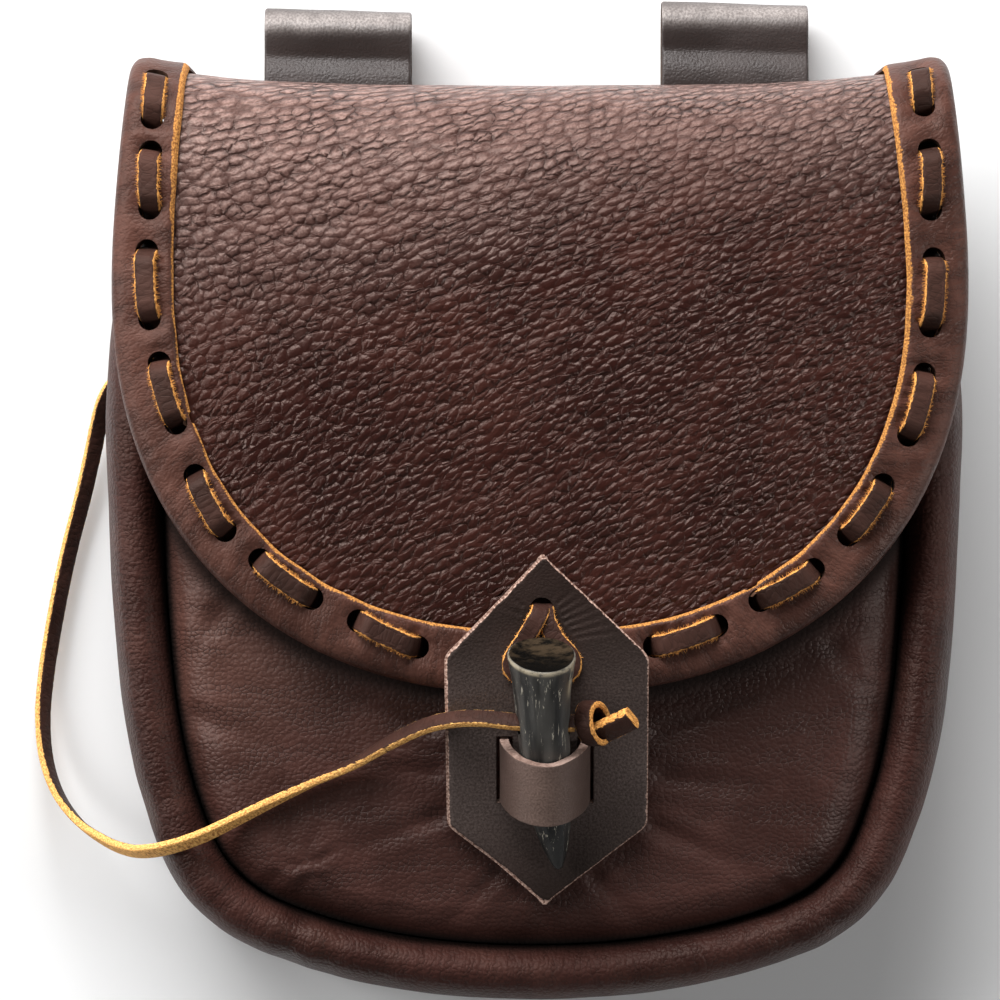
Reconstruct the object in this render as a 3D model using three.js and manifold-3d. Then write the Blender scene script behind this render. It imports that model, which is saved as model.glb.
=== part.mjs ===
import * as THREE from 'three';
import { mergeVertices } from 'three/addons/utils/BufferGeometryUtils.js';
import Module from 'manifold-3d';

const wasm = await Module();
wasm.setup();

// Belt pouch lying on its back: +Z points out of its front, +Y to its top, +X to its right.
// All sizes are in millimetres. The origin is on the table, under the middle of the pouch.

// Leather thicknesses and the gap that neighbouring pieces keep.
const wallThick = 2;
const patchThick = 2.2;
const strapThick = 2.2;
const seatGap = 0.3;

// Half of the body's outline seen from the front, from the mouth down to the bottom's middle.
const bodyOutline = [
  { x: 80.5, y: 64 },
  { x: 84.3, y: 43 },
  { x: 86.4, y: 19 },
  { x: 86.0, y: -1 },
  { x: 85.1, y: -22 },
  { x: 82.6, y: -46 },
  { x: 78.6, y: -63 },
  { x: 71.4, y: -79 },
  { x: 61.2, y: -88.6 },
  { x: 45.5, y: -95.2 },
  { x: 23.5, y: -99.9 },
  { x: 0, y: -101.4 },
];

// Section of the gusset from the front seam, over the front roll and the side, to the back seam.
// out is measured from the body's outline, and back is the share of the sag at the bottom.
const gussetSection = [
  { out: -11.0, z: 31.5, back: 0 },
  { out: -11.0, z: 36.6, back: 0 },
  { out: -9.6, z: 40.3, back: 0 },
  { out: -6.6, z: 42.3, back: 0 },
  { out: -3.0, z: 40.9, back: 0 },
  { out: -0.8, z: 36.0, back: 0 },
  { out: 0, z: 27, back: 0.1 },
  { out: -0.2, z: 18.5, back: 0.5 },
  { out: -1.5, z: 11.2, back: 0.9 },
  { out: -4.2, z: 6.9, back: 1 },
  { out: -7.6, z: 6.0, back: 1 },
  { out: -10.6, z: 10.4, back: 1 },
  { out: -10.6, z: 14.6, back: 0.9 },
];
const bottomSag = 6;
const gussetStations = 17;

// The bottom corner's place along half of the outline, where stations stand closer together.
const cornerAlong = 0.72;
const cornerEase = 0.45;

// Edge of the front panel: it stands in the seam groove and rounds over onto the domed front.
const frontEdge = [
  { inset: 0, z: 32 },
  { inset: 0.1, z: 37.2 },
  { inset: 1.0, z: 40.0 },
  { inset: 3.0, z: 42.2 },
  { inset: 7.0, z: 43.7 },
];
const frontInset = 11.3;
const frontTop = 58;
const frontDomeLow = 2.5;
const frontDomeHigh = 6.4;
const mouthSlope = 4.5;
const frontInnerRings = 4;
const spineBendY = 0;
const spineEndY = -48;

// Back panel: flat behind the belt loops, sagging to the table at the bottom.
const backZ = 10.8;
const backSag = 5;
const backInset = 10.9;
const backTop = 69;

// Middle line of the flap from its sewn back end, over the fold, to its lower edge.
const flapProfile = [
  { y: 57, z: 14.2 },
  { y: 64, z: 14.2 },
  { y: 71, z: 14.9 },
  { y: 78.2, z: 19 },
  { y: 82.3, z: 28 },
  { y: 79.6, z: 38.2 },
  { y: 70, z: 46.2 },
  { y: 52, z: 51.2 },
  { y: 30, z: 53.4 },
  { y: 5, z: 54.0 },
  { y: -20, z: 53.4 },
  { y: -44, z: 52.0 },
];
const flapCentreX = 1.15;
const flapHalfWidth = 85.6;
const flapBottomY = -39.3;
const flapRoundY = 44;
const flapRoundPower = 2.28;
const flapFoldHalf = 82.4;
const flapBackHalf = 69;
const foldLift = 5;
const flapSideDrop = 7;
const flapSpineY = 2;

// Binding folded round the flap's edge: d runs in from its outer edge, h from the flap's middle.
const bindingSection = [
  { d: 12.5, h: 2.9 },
  { d: 2.8, h: 2.9 },
  { d: 0.9, h: 2.1 },
  { d: 0, h: 0 },
  { d: 0.9, h: -2.1 },
  { d: 4.4, h: -2.7 },
  { d: 4.4, h: -1.4 },
  { d: 2.2, h: -1.4 },
  { d: 1.5, h: 0 },
  { d: 2.2, h: 1.4 },
  { d: 12.5, h: 1.4 },
];
const bindingStartV = 23;
const flapInset = 2.4;

// Flat lace of the flap's edge: it shows on top between each pair of holes.
const laceWide = 3.8;
const laceThick = 1.4;
const laceInset = 7.2;
const laceHoleWide = 4.6;
const laceHoleLong = 3.7;
const laceOver = 4.1;
const laceUnder = -2.1;
const firstHole = 23.8;
const stitchLength = 12.9;
const stitchPitch = 22.7;
const stitchesPerSide = 7;

// Closure patch: a hexagon that lies on the flap and hangs down over the front.
const patchRows = [
  { y: -11.3, z: 56.2, left: 1.5, right: 1.6 },
  { y: -21, z: 57.0, left: -7.8, right: 11.9 },
  { y: -31.4, z: 57.5, left: -17.9, right: 22.7 },
  { y: -39.5, z: 57.2, left: -17.8, right: 22.6 },
  { y: -46, z: 55.2, left: -17.7, right: 22.6 },
  { y: -54, z: 52.2, left: -17.6, right: 22.6 },
  { y: -61, z: 49.8, left: -17.5, right: 22.6 },
  { y: -65.6, z: 48.5, left: -17.4, right: 22.5 },
  { y: -73, z: 47.0, left: -7.6, right: 12.8 },
  { y: -81.3, z: 46.2, left: 2.0, right: 2.1 },
];
const patchColumns = 4;
const patchTieX = 1.4;
const patchTieTopY = -22.2;
const patchTieLowY = -38.4;
const patchTieSpread = 8.6;
const patchTieSpreadY = -31.4;

// Toggle loop and horn toggle share one leaning axis.
const loopX = 2.1;
const loopY = -56;
const loopZ = 58.6;
const loopLean = 20 * Math.PI / 180;
const loopOuter = 9;
const loopHeight = 13;
const loopFootZ = 46.9;
const slotClear = 0.6;
const toggleTilt = 25 * Math.PI / 180;
const toggleHeadX = 1.4;
const toggleTipShift = 3.4;
const toggleHeadY = -31.6;
const toggleHeadZ = 70.2;
const toggleProfile = [
  { along: 0, radius: 5.4 },
  { along: 0.9, radius: 6.8 },
  { along: 2.6, radius: 7.0 },
  { along: 5.5, radius: 6.1 },
  { along: 9.5, radius: 5.0 },
  { along: 14.5, radius: 4.5 },
  { along: 20, radius: 4.8 },
  { along: 27, radius: 4.8 },
  { along: 34, radius: 4.2 },
  { along: 40, radius: 3.1 },
  { along: 44.5, radius: 1.7 },
  { along: 46.6, radius: 0.6 },
];
const toggleSides = 14;
const toggleBoreAlong = 14.4;
const toggleBoreRadius = 2.5;

// Tether lace: its route and how far its flat face leans in from facing straight up.
const tetherWide = 3.6;
const tetherThick = 2.2;
const tetherRoute = [
  { x: -82.4, y: 25.2, z: 11.2, lean: 24 },
  { x: -85.7, y: 23.2, z: 8.4, lean: 26 },
  { x: -88.0, y: 19.4, z: 6.2, lean: 28 },
  { x: -89.4, y: 14.4, z: 4.6, lean: 29 },
  { x: -90.7, y: 8.4, z: 3.5, lean: 30 },
  { x: -92.6, y: 0.2, z: 2.7, lean: 32 },
  { x: -95.0, y: -9.0, z: 2.4, lean: 34 },
  { x: -97.1, y: -18.4, z: 2.4, lean: 36 },
  { x: -98.8, y: -27.6, z: 2.5, lean: 38 },
  { x: -100.2, y: -36.8, z: 2.8, lean: 42 },
  { x: -100.8, y: -45.2, z: 3.6, lean: 47 },
  { x: -100.0, y: -53.5, z: 5.4, lean: 54 },
  { x: -97.4, y: -60.6, z: 8.8, lean: 62 },
  { x: -92.9, y: -66.2, z: 13.8, lean: 69 },
  { x: -87.2, y: -69.7, z: 21.0, lean: 75 },
  { x: -81.9, y: -71.2, z: 30.2, lean: 79 },
  { x: -77.3, y: -71.0, z: 38.6, lean: 81 },
  { x: -72.3, y: -69.8, z: 44.0, lean: 81 },
  { x: -66.4, y: -67.7, z: 45.6, lean: 81 },
  { x: -60.0, y: -64.6, z: 46.0, lean: 79 },
  { x: -52.8, y: -61.0, z: 46.6, lean: 76 },
  { x: -44.6, y: -57.1, z: 47.2, lean: 72 },
  { x: -36.6, y: -53.4, z: 48.8, lean: 66 },
  { x: -28.4, y: -48.6, z: 52.6, lean: 58 },
  { x: -21.6, y: -45.3, z: 57.0, lean: 50 },
  { x: -15.8, y: -43.9, z: 60.4, lean: 44 },
  { x: -9.8, y: -43.7, z: 62.6, lean: 41 },
  { x: -4.2, y: -44.3, z: 63.6, lean: 40 },
  { x: 2.2, y: -44.6, z: 63.9, lean: 40 },
  { x: 7.9, y: -44.6, z: 63.9, lean: 40 },
];
const tetherSteps = 50;
const tetherHoleRadius = 2.9;

// Tether knot: one wrap of the lace round itself and a cut tail.
const knotX = 10.3;
const knotHalfLength = 2.0;
const knotRadius = 4.7;
const knotTailEnd = 20.6;
const knotTailHigh = 3.9;
const knotTailThick = 2.2;

// Belt loops: straps folded over above the pouch. Their profile runs from the upper sewn end
// over the fold and down the table side to the lower sewn end, on the strap's outer face.
const beltLoopWide = 30;
const beltLoops = [
  { name: 'belt_loop_left', x: -40, top: 100.0 },
  { name: 'belt_loop_right', x: 41.2, top: 101.4 },
];
const beltLoopPath = [
  { y: 55, z: 9.4 },
  { y: 84, z: 9.4 },
  { y: 90.5, z: 9.6 },
  { y: 94.5, z: 10.9 },
  { y: 97.6, z: 10.6 },
  { y: 99.6, z: 8.6 },
  { y: 100.3, z: 6 },
  { y: 99.5, z: 3.4 },
  { y: 97.3, z: 1.6 },
  { y: 94, z: 1.1 },
  { y: 38, z: 1.1 },
  { y: 33, z: 1.9 },
  { y: 27, z: 6.4 },
  { y: 23, z: 8.9 },
  { y: 19, z: 9.4 },
  { y: 9, z: 9.4 },
];

const smooth = (from, to, value) => THREE.MathUtils.smoothstep(value, from, to);

// A smooth line through the rows of a table, walked by its length.
function curveOf(points) {
  const curve = new THREE.CatmullRomCurve3(points, false, 'centripetal');
  curve.arcLengthDivisions = 1200;
  return curve;
}

// Triangles of one closed body from points and faces, welded where points meet.
function solid(points, faces) {
  const geometry = new THREE.BufferGeometry();
  const flat = points.flatMap((p) => [p.x, p.y, p.z]);
  geometry.setAttribute('position', new THREE.Float32BufferAttribute(flat, 3));
  geometry.setIndex(faces.flat());
  return mergeVertices(geometry, 1e-4);
}

// Faces of a grid of points with rows points deep and columns across.
function gridFaces(rows, columns, flip) {
  const faces = [];
  for (let i = 0; i < rows - 1; i += 1) {
    for (let j = 0; j < columns - 1; j += 1) {
      const a = i * columns + j;
      const b = a + 1;
      const c = a + columns;
      const d = c + 1;
      faces.push(flip ? [a, c, b] : [a, b, c]);
      faces.push(flip ? [b, c, d] : [b, d, c]);
    }
  }
  return faces;
}

// A sheet of leather: its outer face, its inner face a thickness behind, and its cut edges.
function thicken(sheet, thick) {
  sheet.computeVertexNormals();
  const place = sheet.getAttribute('position');
  const normal = sheet.getAttribute('normal');
  const count = place.count;
  const points = [];
  for (let i = 0; i < count; i += 1) {
    points.push(new THREE.Vector3().fromBufferAttribute(place, i));
  }
  for (let i = 0; i < count; i += 1) {
    const out = new THREE.Vector3().fromBufferAttribute(normal, i);
    points.push(points[i].clone().addScaledVector(out, -thick));
  }
  const index = sheet.getIndex().array;
  const faces = [];
  const edges = new Map();
  for (let i = 0; i < index.length; i += 3) {
    const [a, b, c] = [index[i], index[i + 1], index[i + 2]];
    if (a === b || b === c || c === a) continue;
    faces.push([a, b, c]);
    faces.push([a + count, c + count, b + count]);
    for (const [from, to] of [[a, b], [b, c], [c, a]]) {
      edges.set(`${from} ${to}`, [from, to]);
    }
  }
  for (const [from, to] of edges.values()) {
    if (edges.has(`${to} ${from}`)) continue;
    faces.push([to, from, from + count]);
    faces.push([to, from + count, to + count]);
  }
  return solid(points, faces);
}

// A panel with a U-shaped edge: spokes run in from the edge to a spine down the middle.
function uPanel(alongs, rings, pointAt, flip) {
  const points = [];
  const faces = [];
  for (const side of [-1, 1]) {
    const start = points.length;
    for (const along of alongs) {
      for (let ring = 0; ring < rings; ring += 1) {
        points.push(pointAt(side, along, ring));
      }
    }
    const half = gridFaces(alongs.length, rings, (side > 0) === flip);
    faces.push(...half.map((face) => face.map((i) => i + start)));
  }
  return solid(points, faces);
}

// A strip with a closed section at each station, capped at both ends.
function sweep(sections) {
  const around = sections[0].length;
  const points = sections.flat();
  const faces = [];
  for (let i = 0; i < sections.length - 1; i += 1) {
    for (let j = 0; j < around; j += 1) {
      const next = (j + 1) % around;
      const a = i * around + j;
      const b = i * around + next;
      faces.push([a, b, b + around]);
      faces.push([a, b + around, a + around]);
    }
  }
  const outline = sections[0].map((p) => p.flat2);
  const caps = THREE.ShapeUtils.triangulateShape(outline, []);
  const last = (sections.length - 1) * around;
  for (const [a, b, c] of caps) {
    faces.push([c, b, a]);
    faces.push([a + last, b + last, c + last]);
  }
  return solid(points, faces);
}

// A ribbon of leather along a line of places, each with its own width direction.
function ribbon(places, wide, thick, corner) {
  const cut = corner;
  const half = { w: wide / 2, t: thick / 2 };
  const flat = cut > 0
    ? [[half.w - cut, -half.t], [half.w, -half.t + cut], [half.w, half.t - cut],
      [half.w - cut, half.t], [-half.w + cut, half.t], [-half.w, half.t - cut],
      [-half.w, -half.t + cut], [-half.w + cut, -half.t]]
    : [[half.w, -half.t], [half.w, half.t], [-half.w, half.t], [-half.w, -half.t]];
  const sections = places.map(({ at, tangent, width }) => {
    const across = width.clone().addScaledVector(tangent, -width.dot(tangent)).normalize();
    const up = new THREE.Vector3().crossVectors(tangent, across);
    return flat.map(([w, t]) => {
      const point = at.clone().addScaledVector(across, w).addScaledVector(up, t);
      point.flat2 = new THREE.Vector2(w, t);
      return point;
    });
  });
  return sweep(sections);
}

function tangents(points) {
  return points.map((p, i) => {
    const before = points[Math.max(0, i - 1)];
    const after = points[Math.min(points.length - 1, i + 1)];
    return after.clone().sub(before).normalize();
  });
}

function manifoldOf(geometry) {
  const bare = geometry.clone();
  bare.deleteAttribute('normal');
  bare.deleteAttribute('uv');
  const welded = mergeVertices(bare, 1e-4);
  const mesh = new wasm.Mesh({
    numProp: 3,
    vertProperties: new Float32Array(welded.getAttribute('position').array),
    triVerts: new Uint32Array(welded.getIndex().array),
  });
  return new wasm.Manifold(mesh);
}

function geometryOf(manifold) {
  const mesh = manifold.getMesh();
  const geometry = new THREE.BufferGeometry();
  const places = new THREE.BufferAttribute(new Float32Array(mesh.vertProperties), 3);
  geometry.setAttribute('position', places);
  geometry.setIndex(new THREE.BufferAttribute(new Uint32Array(mesh.triVerts), 1));
  return geometry;
}

function minus(geometry, cutters) {
  let body = manifoldOf(geometry);
  for (const cutter of cutters) {
    body = body.subtract(manifoldOf(cutter));
  }
  return geometryOf(body);
}

function plus(geometry, others) {
  let body = manifoldOf(geometry);
  for (const other of others) {
    body = body.add(manifoldOf(other));
  }
  return geometryOf(body);
}

// A prism for punching a hole through leather at a place along a direction.
function punch(at, direction, radius, length, sides) {
  const geometry = new THREE.CylinderGeometry(radius, radius, length, sides);
  const turn = new THREE.Quaternion().setFromUnitVectors(
    new THREE.Vector3(0, 1, 0),
    direction.clone().normalize(),
  );
  geometry.applyQuaternion(turn);
  geometry.translate(at.x, at.y, at.z);
  return geometry;
}

// The body's outline, as a place and an outward direction, from the mouth (0) to the bottom (1).
const bodyCurve = curveOf([
  ...bodyOutline.map(({ x, y }) => new THREE.Vector3(-x, y, 0)),
  ...bodyOutline.slice(0, -1).reverse().map(({ x, y }) => new THREE.Vector3(x, y, 0)),
]);

function bodyEdge(side, along, out) {
  const at = bodyCurve.getPointAt(along / 2);
  const tangent = bodyCurve.getTangentAt(along / 2);
  const x = at.x + tangent.y * out;
  const y = at.y - tangent.x * out;
  return { x: along === 1 ? 0 : -side * x, y };
}

const sagAt = (y) => smooth(10, 92, -y);
const mouthDrop = (y) => mouthSlope * smooth(30, 64, y);

function stationAlong(i) {
  const t = i / (gussetStations - 1);
  const turn = 2 * Math.PI;
  const start = cornerAlong - 0.5;
  const wave = Math.sin(turn * (t - start)) + Math.sin(turn * start);
  return t + cornerEase * wave / turn;
}

const panelAlongs = Array.from({ length: gussetStations }, (_, i) => stationAlong(i));
panelAlongs[gussetStations - 1] = 1;

function makeGusset() {
  const columns = gussetSection.length;
  const points = [];
  const walk = [
    ...panelAlongs.map((along) => ({ side: -1, along })),
    ...panelAlongs.slice(0, -1).reverse().map((along) => ({ side: 1, along })),
  ];
  for (const { side, along } of walk) {
    const rim = bodyEdge(side, along, 0);
    for (const row of gussetSection) {
      const edge = bodyEdge(side, along, row.out);
      const front = smooth(18, 36, row.z) * mouthDrop(rim.y);
      const z = row.z - front - row.back * bottomSag * sagAt(rim.y);
      points.push(new THREE.Vector3(edge.x, edge.y, z));
    }
  }
  return thicken(solid(points, gridFaces(walk.length, columns, false)), wallThick);
}

function domeAt(y) {
  return THREE.MathUtils.lerp(frontDomeLow, frontDomeHigh, smooth(-46, 4, y));
}

// Sides below the panel's top edge, along the same outline as the gusset.
function alongFrom(topY, inset) {
  let along = 0;
  while (bodyEdge(1, along, -inset).y > topY) {
    along += 0.001;
  }
  return along;
}

// Where a spoke from the panel's edge meets the spine down its middle.
function panelSpine(edgeY) {
  const low = bodyOutline[bodyOutline.length - 1].y + frontInset;
  const share = Math.max(0, spineBendY - edgeY) / (spineBendY - low);
  return Math.max(edgeY, spineBendY) + share * (spineEndY - spineBendY);
}

function makeFront() {
  const rings = frontEdge.length + frontInnerRings;
  const first = alongFrom(frontTop, frontInset);
  const alongs = panelAlongs.map((t) => first + (1 - first) * t);
  const pointAt = (side, along, ring) => {
    const edge = bodyEdge(side, along, -frontInset);
    const spine = { x: 0, y: panelSpine(edge.y) };
    const length = Math.hypot(spine.x - edge.x, spine.y - edge.y);
    const near = frontEdge[Math.min(ring, frontEdge.length - 1)];
    const inside = Math.max(0, ring - frontEdge.length + 1) / frontInnerRings;
    const inset = THREE.MathUtils.lerp(near.inset, length, inside) / length;
    const x = THREE.MathUtils.lerp(edge.x, spine.x, inset);
    const y = THREE.MathUtils.lerp(edge.y, spine.y, inset);
    const dome = domeAt(y) * (1 - (1 - inside) ** 2);
    return new THREE.Vector3(x, y, near.z + dome - mouthDrop(y));
  };
  return thicken(uPanel(alongs, rings, pointAt, false), wallThick);
}

function makeBack() {
  const rings = 4;
  const pointAt = (side, along, ring) => {
    const edge = bodyEdge(side, along, -backInset);
    const t = ring / (rings - 1);
    const corner = along === 0 ? 2 : 0;
    const x = THREE.MathUtils.lerp(edge.x - side * corner, 0, t);
    const low = THREE.MathUtils.lerp(edge.y, panelSpine(edge.y), t);
    const y = along === 0 ? backTop : low;
    return new THREE.Vector3(x, y, backZ - backSag * sagAt(y));
  };
  return thicken(uPanel(panelAlongs, rings, pointAt, true), wallThick);
}

// The flap's surface: x across it and v down its middle line from the sewn end.
const flapCurve = curveOf(flapProfile.map(({ y, z }) => new THREE.Vector3(0, y, z)));
const flapLength = flapCurve.getLength();

function frontV(y) {
  let v = flapLength;
  while (flapCurve.getPointAt(v / flapLength).y < y) {
    v -= 0.05;
  }
  return v;
}

function foldV() {
  let best = 0;
  for (let v = 0; v < flapLength / 2; v += 0.1) {
    const high = flapCurve.getPointAt(best / flapLength).y;
    best = flapCurve.getPointAt(v / flapLength).y > high ? v : best;
  }
  return best;
}

const flapFoldV = foldV();
const flapRoundV = frontV(flapRoundY);
const flapEndV = frontV(flapBottomY);
const flapSpineV = frontV(flapSpineY);

function flapPoint(x, v) {
  const at = flapCurve.getPointAt(THREE.MathUtils.clamp(v / flapLength, 0, 1));
  const share = Math.abs(x - flapCentreX) / flapHalfWidth;
  const nearFold = smooth(8, flapFoldV - 4, v) * (1 - smooth(flapFoldV + 6, flapRoundV, v));
  const onFront = smooth(flapFoldV - 2, flapRoundV, v);
  const y = at.y + foldLift * nearFold * Math.min(1.2, share) ** 4;
  const z = at.z - flapSideDrop * onFront * Math.min(1.2, share) ** 3;
  return new THREE.Vector3(x, y, z);
}

function flapNormal(x, v) {
  const across = flapPoint(x + 0.2, v).sub(flapPoint(x - 0.2, v));
  const down = flapPoint(x, v + 0.2).sub(flapPoint(x, v - 0.2));
  return down.cross(across).normalize();
}

// Outer edge of the binding in x and v, from the sewn end (0) to the lower middle (1).
function flapEdgeRows() {
  const rows = [];
  for (let v = 0; v < flapRoundV; v += 1.5) {
    const fold = THREE.MathUtils.lerp(flapBackHalf, flapFoldHalf, smooth(0, flapFoldV, v));
    const wide = THREE.MathUtils.lerp(fold, flapHalfWidth, smooth(flapFoldV, flapRoundV, v));
    rows.push(new THREE.Vector3(wide, v, 0));
  }
  const deep = flapEndV - flapRoundV;
  for (let turn = 0; turn <= 60; turn += 1) {
    const angle = turn / 60 * Math.PI / 2;
    const x = flapHalfWidth * Math.cos(angle) ** (2 / flapRoundPower);
    const v = flapRoundV + deep * Math.sin(angle) ** (2 / flapRoundPower);
    rows.push(new THREE.Vector3(turn === 60 ? 0 : x, v, 0));
  }
  return rows;
}

const flapEdgeCurve = curveOf([
  ...flapEdgeRows(),
  ...flapEdgeRows().slice(0, -1).reverse().map((p) => new THREE.Vector3(-p.x, p.y, 0)),
]);

function flapEdge(side, along, inset) {
  const at = flapEdgeCurve.getPointAt(along / 2);
  const tangent = flapEdgeCurve.getTangentAt(along / 2);
  const half = along === 1 ? 0 : at.x - tangent.y * inset;
  return { x: flapCentreX + side * half, v: at.y + tangent.x * inset };
}

// Stations close together over the fold and wider apart down the front.
const flapAlongs = [0];
for (let along = 0.055; along < 0.99; along += along < 0.27 ? 0.0195 : 0.047) {
  flapAlongs.push(along);
}
flapAlongs.push(1);

const flapRings = [0, 0.11, 0.25, 0.45, 0.7, 1];

function spineV(v) {
  const below = Math.max(0, v - flapRoundV) / (flapEndV - flapRoundV);
  return Math.min(v, flapRoundV) + below * (flapSpineV - flapRoundV);
}

function makeFlap() {
  const pointAt = (side, along, ring) => {
    const edge = flapEdge(side, along, flapInset);
    const outer = flapEdge(side, along, 0);
    const v = THREE.MathUtils.lerp(edge.v, spineV(outer.v), flapRings[ring]);
    const x = THREE.MathUtils.lerp(edge.x, flapCentreX, flapRings[ring]);
    const at = flapPoint(x, v);
    return at.addScaledVector(flapNormal(x, v), wallThick / 2);
  };
  return thicken(uPanel(flapAlongs, flapRings.length, pointAt, false), wallThick);
}

function flapStation(side, along, inset, height) {
  const edge = flapEdge(side, along, inset);
  return flapPoint(edge.x, edge.v).addScaledVector(flapNormal(edge.x, edge.v), height);
}

function makeBinding() {
  const alongs = flapAlongs.filter((along) => flapEdge(1, along, 0).v >= bindingStartV);
  const walk = [
    ...alongs.map((along) => ({ side: -1, along })),
    ...alongs.slice(0, -1).reverse().map((along) => ({ side: 1, along })),
  ];
  const sections = walk.map(({ side, along }) => bindingSection.map(({ d, h }) => {
    const point = flapStation(side, along, d, h);
    point.flat2 = new THREE.Vector2(d, h);
    return point;
  }));
  return sweep(sections);
}

// The lacing line lies inside the binding; s is its length from the lower middle.
function laceLine() {
  const rows = [];
  let s = 0;
  let before = flapStation(1, 1, laceInset, 0);
  for (let along = 1; along >= 0; along -= 0.002) {
    const at = flapStation(1, along, laceInset, 0);
    s += at.distanceTo(before);
    rows.push({ s, along });
    before = at;
  }
  return rows;
}

const laceRows = laceLine();

function laceAlong(s) {
  const after = laceRows.findIndex((row) => row.s >= s);
  const b = laceRows[Math.max(1, after)];
  const a = laceRows[Math.max(1, after) - 1];
  return THREE.MathUtils.lerp(a.along, b.along, (s - a.s) / (b.s - a.s));
}

function lacePoint(s, height) {
  const side = s < 0 ? -1 : 1;
  return flapStation(side, laceAlong(Math.abs(s)), laceInset, height);
}

function laceInward(s) {
  const side = s < 0 ? -1 : 1;
  const along = laceAlong(Math.abs(s));
  const inner = flapStation(side, along, laceInset + 1, 0);
  return inner.sub(flapStation(side, along, laceInset - 1, 0)).normalize();
}

const laceHoles = [];
for (let stitch = stitchesPerSide - 1; stitch >= 0; stitch -= 1) {
  const near = firstHole + stitch * stitchPitch;
  laceHoles.push(-near - stitchLength, -near);
}
laceHoles.push(...laceHoles.map((s) => -s).reverse());

function makeLacing() {
  const rows = [];
  laceHoles.forEach((s, i) => {
    const from = i % 2 === 0 ? laceUnder : laceOver;
    const to = i % 2 === 0 ? laceOver : laceUnder;
    const turn = laceOver - 2.2;
    if (i > 0) {
      rows.push({ s: s - 1.6, h: from });
    }
    rows.push({ s, h: from - Math.sign(from) * turn });
    rows.push({ s, h: to - Math.sign(to) * turn });
    if (i < laceHoles.length - 1) {
      const next = laceHoles[i + 1];
      rows.push({ s: s + 1.6, h: to });
      const parts = Math.round((next - s) / 6);
      for (let part = 1; part < parts; part += 1) {
        rows.push({ s: THREE.MathUtils.lerp(s + 1.6, next - 1.6, part / parts), h: to });
      }
    }
  });
  const points = rows.map(({ s, h }) => lacePoint(s, h));
  const heading = tangents(points);
  const places = rows.map(({ s }, i) => ({
    at: points[i],
    tangent: heading[i],
    width: laceInward(s),
  }));
  return ribbon(places, laceWide, laceThick, 0);
}

function laceHolePunches() {
  return laceHoles.map((s) => {
    const hole = new THREE.BoxGeometry(laceHoleWide, laceHoleLong, 11);
    const edge = flapEdge(s < 0 ? -1 : 1, laceAlong(Math.abs(s)), laceInset);
    const out = flapNormal(edge.x, edge.v);
    const across = laceInward(s);
    across.addScaledVector(out, -across.dot(out)).normalize();
    const turn = new THREE.Matrix4().makeBasis(across, out.clone().cross(across), out);
    hole.applyMatrix4(turn.setPosition(lacePoint(s, 0)));
    return hole;
  });
}

function patchHeight(y) {
  const after = Math.max(1, patchRows.findIndex((row) => row.y <= y));
  const a = patchRows[after - 1];
  const b = patchRows[after];
  return THREE.MathUtils.lerp(a.z, b.z, (y - a.y) / (b.y - a.y));
}

function makePatch() {
  const points = patchRows.flatMap((row) => {
    return Array.from({ length: patchColumns + 1 }, (_, i) => {
      const x = THREE.MathUtils.lerp(row.left, row.right, i / patchColumns);
      return new THREE.Vector3(x, row.y, row.z + patchThick / 2);
    });
  });
  const faces = gridFaces(patchRows.length, patchColumns + 1, true);
  const plate = thicken(solid(points, faces), patchThick);
  const lean = new THREE.Vector3(0, -Math.sin(loopLean), Math.cos(loopLean));
  const slots = [-1, 1].map((side) => {
    const wide = strapThick + 2 * slotClear;
    const slot = new THREE.BoxGeometry(wide, loopHeight + 2 * slotClear, 24);
    slot.rotateX(loopLean);
    const x = loopX + side * (loopOuter - strapThick / 2);
    slot.translate(x, loopY - lean.y * 6, loopZ - lean.z * 6);
    return slot;
  });
  const up = new THREE.Vector3(0, 0, 1);
  const holes = [patchTieTopY, patchTieLowY].map((y) => {
    return punch(new THREE.Vector3(patchTieX, y, patchHeight(y)), up, 3.6, 8, 8);
  });
  return minus(plate, [...slots, ...holes]);
}

// Two strands of lace from the patch's upper hole, round the toggle's neck to the lower hole.
function makePatchLace() {
  const lift = patchThick / 2 + seatGap + laceThick / 2;
  const strands = [-1, 1].map((side) => {
    const rows = [
      { x: 0.9, y: patchTieTopY - 0.2, rise: -1.9 },
      { x: 0.9, y: patchTieTopY - 0.7, rise: -0.6 },
      { x: 2.3, y: patchTieTopY - 2.6, rise: 0 },
      { x: patchTieSpread - 2.4, y: patchTieSpreadY + 2.6, rise: 0 },
      { x: patchTieSpread - 0.6, y: patchTieSpreadY, rise: 0 },
      { x: patchTieSpread - 2.6, y: patchTieSpreadY - 2.6, rise: 0 },
      { x: 2.2, y: patchTieLowY + 2.4, rise: 0 },
      { x: 0.9, y: patchTieLowY + 0.7, rise: -0.6 },
      { x: 0.9, y: patchTieLowY + 0.2, rise: -1.9 },
    ];
    const points = rows.map(({ x, y, rise }) => {
      const z = patchHeight(y) + lift + rise;
      return new THREE.Vector3(patchTieX + side * x, y, z);
    });
    const heading = tangents(points);
    const places = points.map((at, i) => {
      const level = new THREE.Vector3(heading[i].x, heading[i].y, 0);
      const width = new THREE.Vector3(-level.y, level.x, 0).normalize();
      return { at, tangent: heading[i], width };
    });
    return ribbon(places, laceWide - 0.6, laceThick, 0);
  });
  return plus(strands[0], [strands[1]]);
}

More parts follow.
